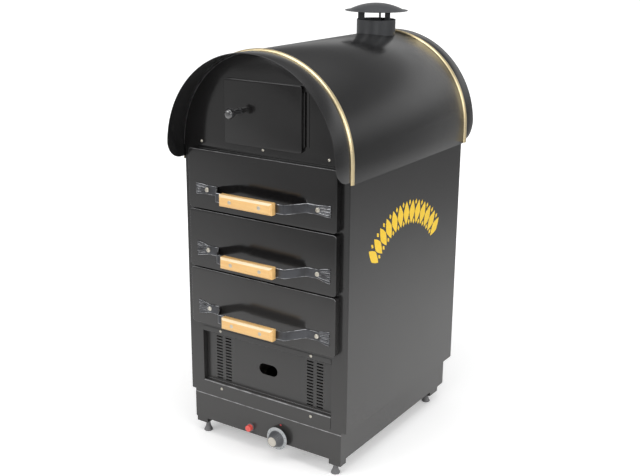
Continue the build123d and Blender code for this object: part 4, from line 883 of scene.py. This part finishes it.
# %% [markdown]
# The flue is a plain tube with a shallow spun cap over it. The cap's brim is thin, so both faces
# of the sheet are drawn in one profile.

# %% Flue pipe and cap
pipe_low, pipe_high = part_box("chimney_pipe")
pipe_y = (pipe_low.y + pipe_high.y) / 2
bore, wall, lip = 0.0535, 0.055, pipe_high.z - 0.0004
pipe_profile = [(bore, pipe_low.z), (wall, pipe_low.z), (wall, lip), (wall - 0.0003, pipe_high.z),
                (bore + 0.0003, pipe_high.z), (bore, lip), (bore, pipe_low.z)]
pipe = turned("flue_pipe", pipe_profile, (0, pipe_y, 0), "Z", 96)
seat(pipe, "cabinet", "flue_coat", "chimney_pipe")

dome_radius, cap_radius, rise, cap_sheet = 0.080, 0.089, 0.020, 0.0012
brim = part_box("rain_cap")[0].z + cap_sheet
ball = (dome_radius ** 2 + rise ** 2) / (2 * rise)  # radius of the ball that the dome is part of
swing = atan2(dome_radius, ball - rise)
dome = [(ball * sin(a), brim + rise - ball * (1 - cos(a)))
        for a in (swing * k / 12 for k in range(13))]
upper = dome + [(cap_radius - 0.0005, brim), (cap_radius, brim - 0.0003)]
lower = [(cap_radius, brim - cap_sheet + 0.0003), (cap_radius - 0.0005, brim - cap_sheet)]
lower += [(r, z - cap_sheet) for r, z in reversed(dome)]
cap = turned("flue_cap", upper + lower, (0, pipe_y, 0), "Z", 96)
seat(cap, "cabinet", "flue_coat", "rain_cap")

# %% [markdown]
# ## Thermostat dial and spark button
# The skirt is a thin pale ring that carries the temperature marks. The grip is a dark cone with
# grooves for the fingers: every third strip of its side is picked, inset and drawn inwards.

# %% Dial
dial = (dial_x, face, dial_z)
skirt_front = 0.0170
skirt_profile = [(0.0125, -0.0145), (0.0312, -0.0145), (0.0319, -0.0150), (0.0320, -0.0160),
                 (0.0316, -0.0168), (0.0308, -skirt_front), (0.0125, -skirt_front),
                 (0.0125, -0.0145)]
ring = turned("dial_ring", skirt_profile, dial, "Y", 96)
seat(ring, "thermostat_dial", "dial_white", "dial_skirt")

grip_steps = 72
grip_profile = [(0.0120, -0.0040), (0.0120, -0.0170), (0.0232, -0.0170), (0.0235, -0.0178),
                (0.0226, -0.0195), (0.0156, -0.0368), (0.0148, -0.0383), (0.0138, -0.0385),
                (0.0031, -0.0385), (0.0031, -0.0040), (0.0120, -0.0040)]
grip = turned("dial_cone", grip_profile, dial, "Y", grip_steps)


def in_groove(c, n):
    """Whether a face is one of every third strip of the cone's side."""
    x, z = c.x - dial_x, c.z - dial_z
    strip = round(degrees(atan2(z, x)) * grip_steps / 360 - 0.5)
    return -0.0366 < c.y - face < -0.0197 and hypot(x, z) > 0.010 and strip % 3 == 0


choose(grip, "FACE", in_groove)
bpy.ops.mesh.inset(thickness=0.0002, use_individual=True)
bpy.ops.transform.resize(value=(0.93, 1, 0.93), center_override=dial)
bpy.ops.object.mode_set(mode="OBJECT")
seat(grip, "thermostat_dial", "dial_dark", "dial_grip")

cap_profile = [(0.0, -0.0400), (0.0108, -0.0400), (0.0122, -0.0398), (0.0129, -0.0393),
               (0.0130, -0.0386), (0.0130, -0.0385), (0.0, -0.0385)]
disc = turned("dial_disc", cap_profile, dial, "Y", 64)
seat(disc, "thermostat_dial", "dial_disc", "dial_cap")

button_profile = [(0.0, -0.0170), (0.0050, -0.0169), (0.0074, -0.0164), (0.0086, -0.0156),
                  (0.0090, -0.0143), (0.0090, 0.0060), (0.0, 0.0060)]
button = turned("spark_cap", button_profile, (button_x, face, dial_z), "Y", 48)
seat(button, "spark_button", "button_red", "piezo_button")

# %% [markdown]
# The ring carries plain tick marks, and a red index dot is printed on the casing above it. A mark
# is a very thin raised shape: one tick is made, then turned round the dial's axis for the others.

# %% Dial marks and index
tick_near, tick_far, tick_half = 0.0262, 0.0300, 0.0005
tick_front, tick_back = skirt_front + 0.00008, skirt_front - 0.00005
tick_count, tick_first, tick_turn = 11, -45, 27  # the turns in degrees
tick = new_block("dial_ticks", (dial_x + tick_near, face - tick_front, dial_z - tick_half),
                 (dial_x + tick_far, face - tick_back, dial_z + tick_half))
soften(tick, 0.00003, 1, 30)
ticks = []
to_dial, from_dial = Matrix.Translation(dial), Matrix.Translation(-Vector(dial))
for place in range(tick_count):
    turn = Matrix.Rotation(radians(tick_first + tick_turn * place), 4, "Y")
    one = copied(tick, "tick")
    one.data.transform(to_dial @ turn @ from_dial)
    ticks.append(one)
bpy.data.objects.remove(tick)
seat(joined(ticks, "dial_ticks"), "thermostat_dial", "mark_dark")
dot_profile = [(0.0, -0.00025), (0.0022, -0.00025), (0.0026, -0.00012), (0.0027, 0.0), (0.0, 0.0)]
dot_place = (dial_x + 0.002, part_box("control_panel")[0].y, 0.0985)
seat(turned("index_dot", dot_profile, dot_place, "Y", 24), "cabinet", "mark_red")

# %% [markdown]
# ## Painted ornament
# Fairground ovens carry bright signwork on the sides. Here an arch of painted leaves stands with
# small lozenges between them. A leaf is a disc drawn out to two points, and it is copied along the
# arch, each copy turned to stand on the curve. The paint film gets a little thickness.

# %% Side ornament
crest_y, crest_z, crest_radius = face + 0.287, 0.432, 0.222  # the middle of the arch of leaves
skin, leaf_turn, lozenge_gap = 0.00025, 8.2, 0.026


def painted_shape(name, height, width, corners, bulge):
    """A pointed shape in paint, standing upright at the arch's centre."""
    bpy.ops.object.select_all(action="DESELECT")
    bpy.ops.mesh.primitive_circle_add(vertices=corners, radius=0.5, fill_type="NGON",
                                      rotation=(pi / 2, 0, pi / 2), location=(0, 0, 0))
    piece = bpy.context.object
    piece.name = name
    bpy.ops.object.transform_apply(location=True, rotation=True, scale=True)
    for vertex in piece.data.vertices:
        along = vertex.co.z / 0.5
        vertex.co.y = vertex.co.y * width * (1 - abs(along)) ** bulge
        vertex.co.z = vertex.co.z * height
    tidy_shell(piece)
    apply_modifier(piece, "SOLIDIFY", thickness=skin, offset=0.0)
    return piece


def around_arch(shape, radius, angle, side):
    """A copy of a shape, stood on the arch at an angle from its crown, on one side."""
    one = copied(shape, "shape")
    stand = Matrix.Translation((0, 0, radius))
    turn = Matrix.Rotation(radians(-angle), 4, "X")
    centre = Matrix.Translation((side * (half_width + skin / 2), crest_y, crest_z))
    one.data.transform(centre @ turn @ stand)
    return one


leaf = painted_shape("leaf", height=0.064, width=0.030, corners=40, bulge=0.45)
lozenge = painted_shape("lozenge", height=0.016, width=0.010, corners=24, bulge=0.7)
for side, name in ((1, "side_ornament_right"), (-1, "side_ornament_left")):
    shapes = [around_arch(leaf, crest_radius, leaf_turn * step, side) for step in range(-6, 7)]
    for step in range(-6, 6):
        for radius in (crest_radius + lozenge_gap, crest_radius - lozenge_gap):
            shapes.append(around_arch(lozenge, radius, leaf_turn * (step + 0.5), side))
    seat(joined(shapes, name), "cabinet", "sign_yellow")
bpy.data.objects.remove(leaf)
bpy.data.objects.remove(lozenge)

# %% [markdown]
# ## Camera, lamps and floor
# The camera stands at the right and a little above. The floor is pale, and the room round it is a
# plain studio: grey walls that are lighter low down, and a bright ceiling. Gloss black shows
# mostly what it mirrors, so the walls matter as much as the lamps.

# %% Camera
bpy.ops.object.camera_add(location=(1.4820, face - 2.0189, 1.3833),
                          rotation=(1.272463, -0.008744, 0.578826))
camera = bpy.context.object
camera.data.lens = 57.62
camera.data.sensor_width = 36
camera.data.clip_end = 50
bpy.context.scene.camera = camera

# %% Floor
bpy.ops.object.select_all(action="DESELECT")
bpy.ops.mesh.primitive_plane_add(size=40, location=(0, 0, 0))
floor = bpy.context.object
floor.name = "floor"
floor_paint = bpy.data.materials.new("floor_paint")
floor_paint.use_nodes = True
tree = floor_paint.node_tree
shader = tree.nodes["Principled BSDF"]
shader.inputs["Roughness"].default_value = 0.8
place = tree.nodes.new("ShaderNodeTexCoord").outputs["Object"]
mottle = noise(tree, place, scale=2.0, detail=3, roughness=0.5)
length = tree.nodes.new("ShaderNodeVectorMath")
length.operation = "LENGTH"
tree.links.new(place, length.inputs[0])
far = length.outputs["Value"]
pale = blended(tree, mottle, (0.88, 0.88, 0.88), (0.91, 0.91, 0.91))
pale = blended(tree, ranged(tree, far, 2.0, 3.6), pale, (0.62, 0.62, 0.62))
tree.links.new(pale, shader.inputs["Base Color"])
rays = tree.nodes.new("ShaderNodeLightPath").outputs
lift = math(tree, "MULTIPLY", ranged(tree, far, 0.7, 3.0, 0.32, 0.85), rays["Is Camera Ray"])
close_by = ranged(tree, far, 1.1, 2.6, 0.25, 0.0)
on_left = ranged(tree, parts_of(tree, place)["X"], -1.4, -2.8, 0.0, 0.30)
glow = math(tree, "MULTIPLY", math(tree, "ADD", close_by, on_left), rays["Is Glossy Ray"])
shader.inputs["Emission Color"].default_value = (1, 1, 1, 1)
tree.links.new(math(tree, "ADD", lift, glow), shader.inputs["Emission Strength"])
floor.data.materials.append(floor_paint)

# %% World
world = bpy.data.worlds.new("studio")
bpy.context.scene.world = world
world.use_nodes = True
tree = world.node_tree
shine = tree.nodes["Background"]
around = parts_of(tree, tree.nodes.new("ShaderNodeTexCoord").outputs["Generated"])
walls = tree.nodes.new("ShaderNodeValToRGB")
tree.links.new(around["Z"], walls.inputs["Fac"])
wall_greys = [(0.0, 0.34), (0.05, 0.40), (0.11, 0.62), (0.22, 0.95), (0.33, 0.95), (0.45, 0.42),
              (0.62, 0.34), (0.86, 0.80), (1.0, 1.0)]
while len(walls.color_ramp.elements) < len(wall_greys):
    walls.color_ramp.elements.new(0.5)
for element, (height, grey) in zip(walls.color_ramp.elements, wall_greys):
    element.position = height
    element.color = (grey, grey, grey, 1)
rays = tree.nodes.new("ShaderNodeLightPath").outputs
from_right = ranged(tree, around["X"], -0.5, 0.4, 0.62, 1.0)
room = blended(tree, 1.0, walls.outputs["Color"], from_right, "MULTIPLY")
shown = blended(tree, rays["Is Camera Ray"], room, (1.0, 1.0, 1.0))
tree.links.new(shown, shine.inputs["Color"])
shine.inputs["Strength"].default_value = 1.0


# %% Lamps
def lamp(name, place, aim, size, power):
    """A large square area lamp turned to its aim."""
    bpy.ops.object.light_add(type="AREA", location=place)
    light = bpy.context.object
    light.name = name
    light.data.shape = "SQUARE"
    light.data.size = size
    light.data.energy = power
    light.rotation_euler = (Vector(aim) - Vector(place)).to_track_quat("-Z", "Y").to_euler()


lamp("sky_lamp", (0.3, -0.5, 3.3), (0.1, -0.1, 0.5), size=2.6, power=42)
lamp("front_lamp", (-1.7, -3.0, 2.3), (0, -0.2, 0.6), size=2.0, power=42)
lamp("fill_lamp", (2.2, -3.2, 1.4), (0, -0.2, 0.8), size=1.6, power=14)
lamp("side_lamp", (3.2, -0.2, 2.1), (0.2, 0, 0.6), size=2.0, power=26)
bpy.context.scene.view_settings.view_transform = "Standard"
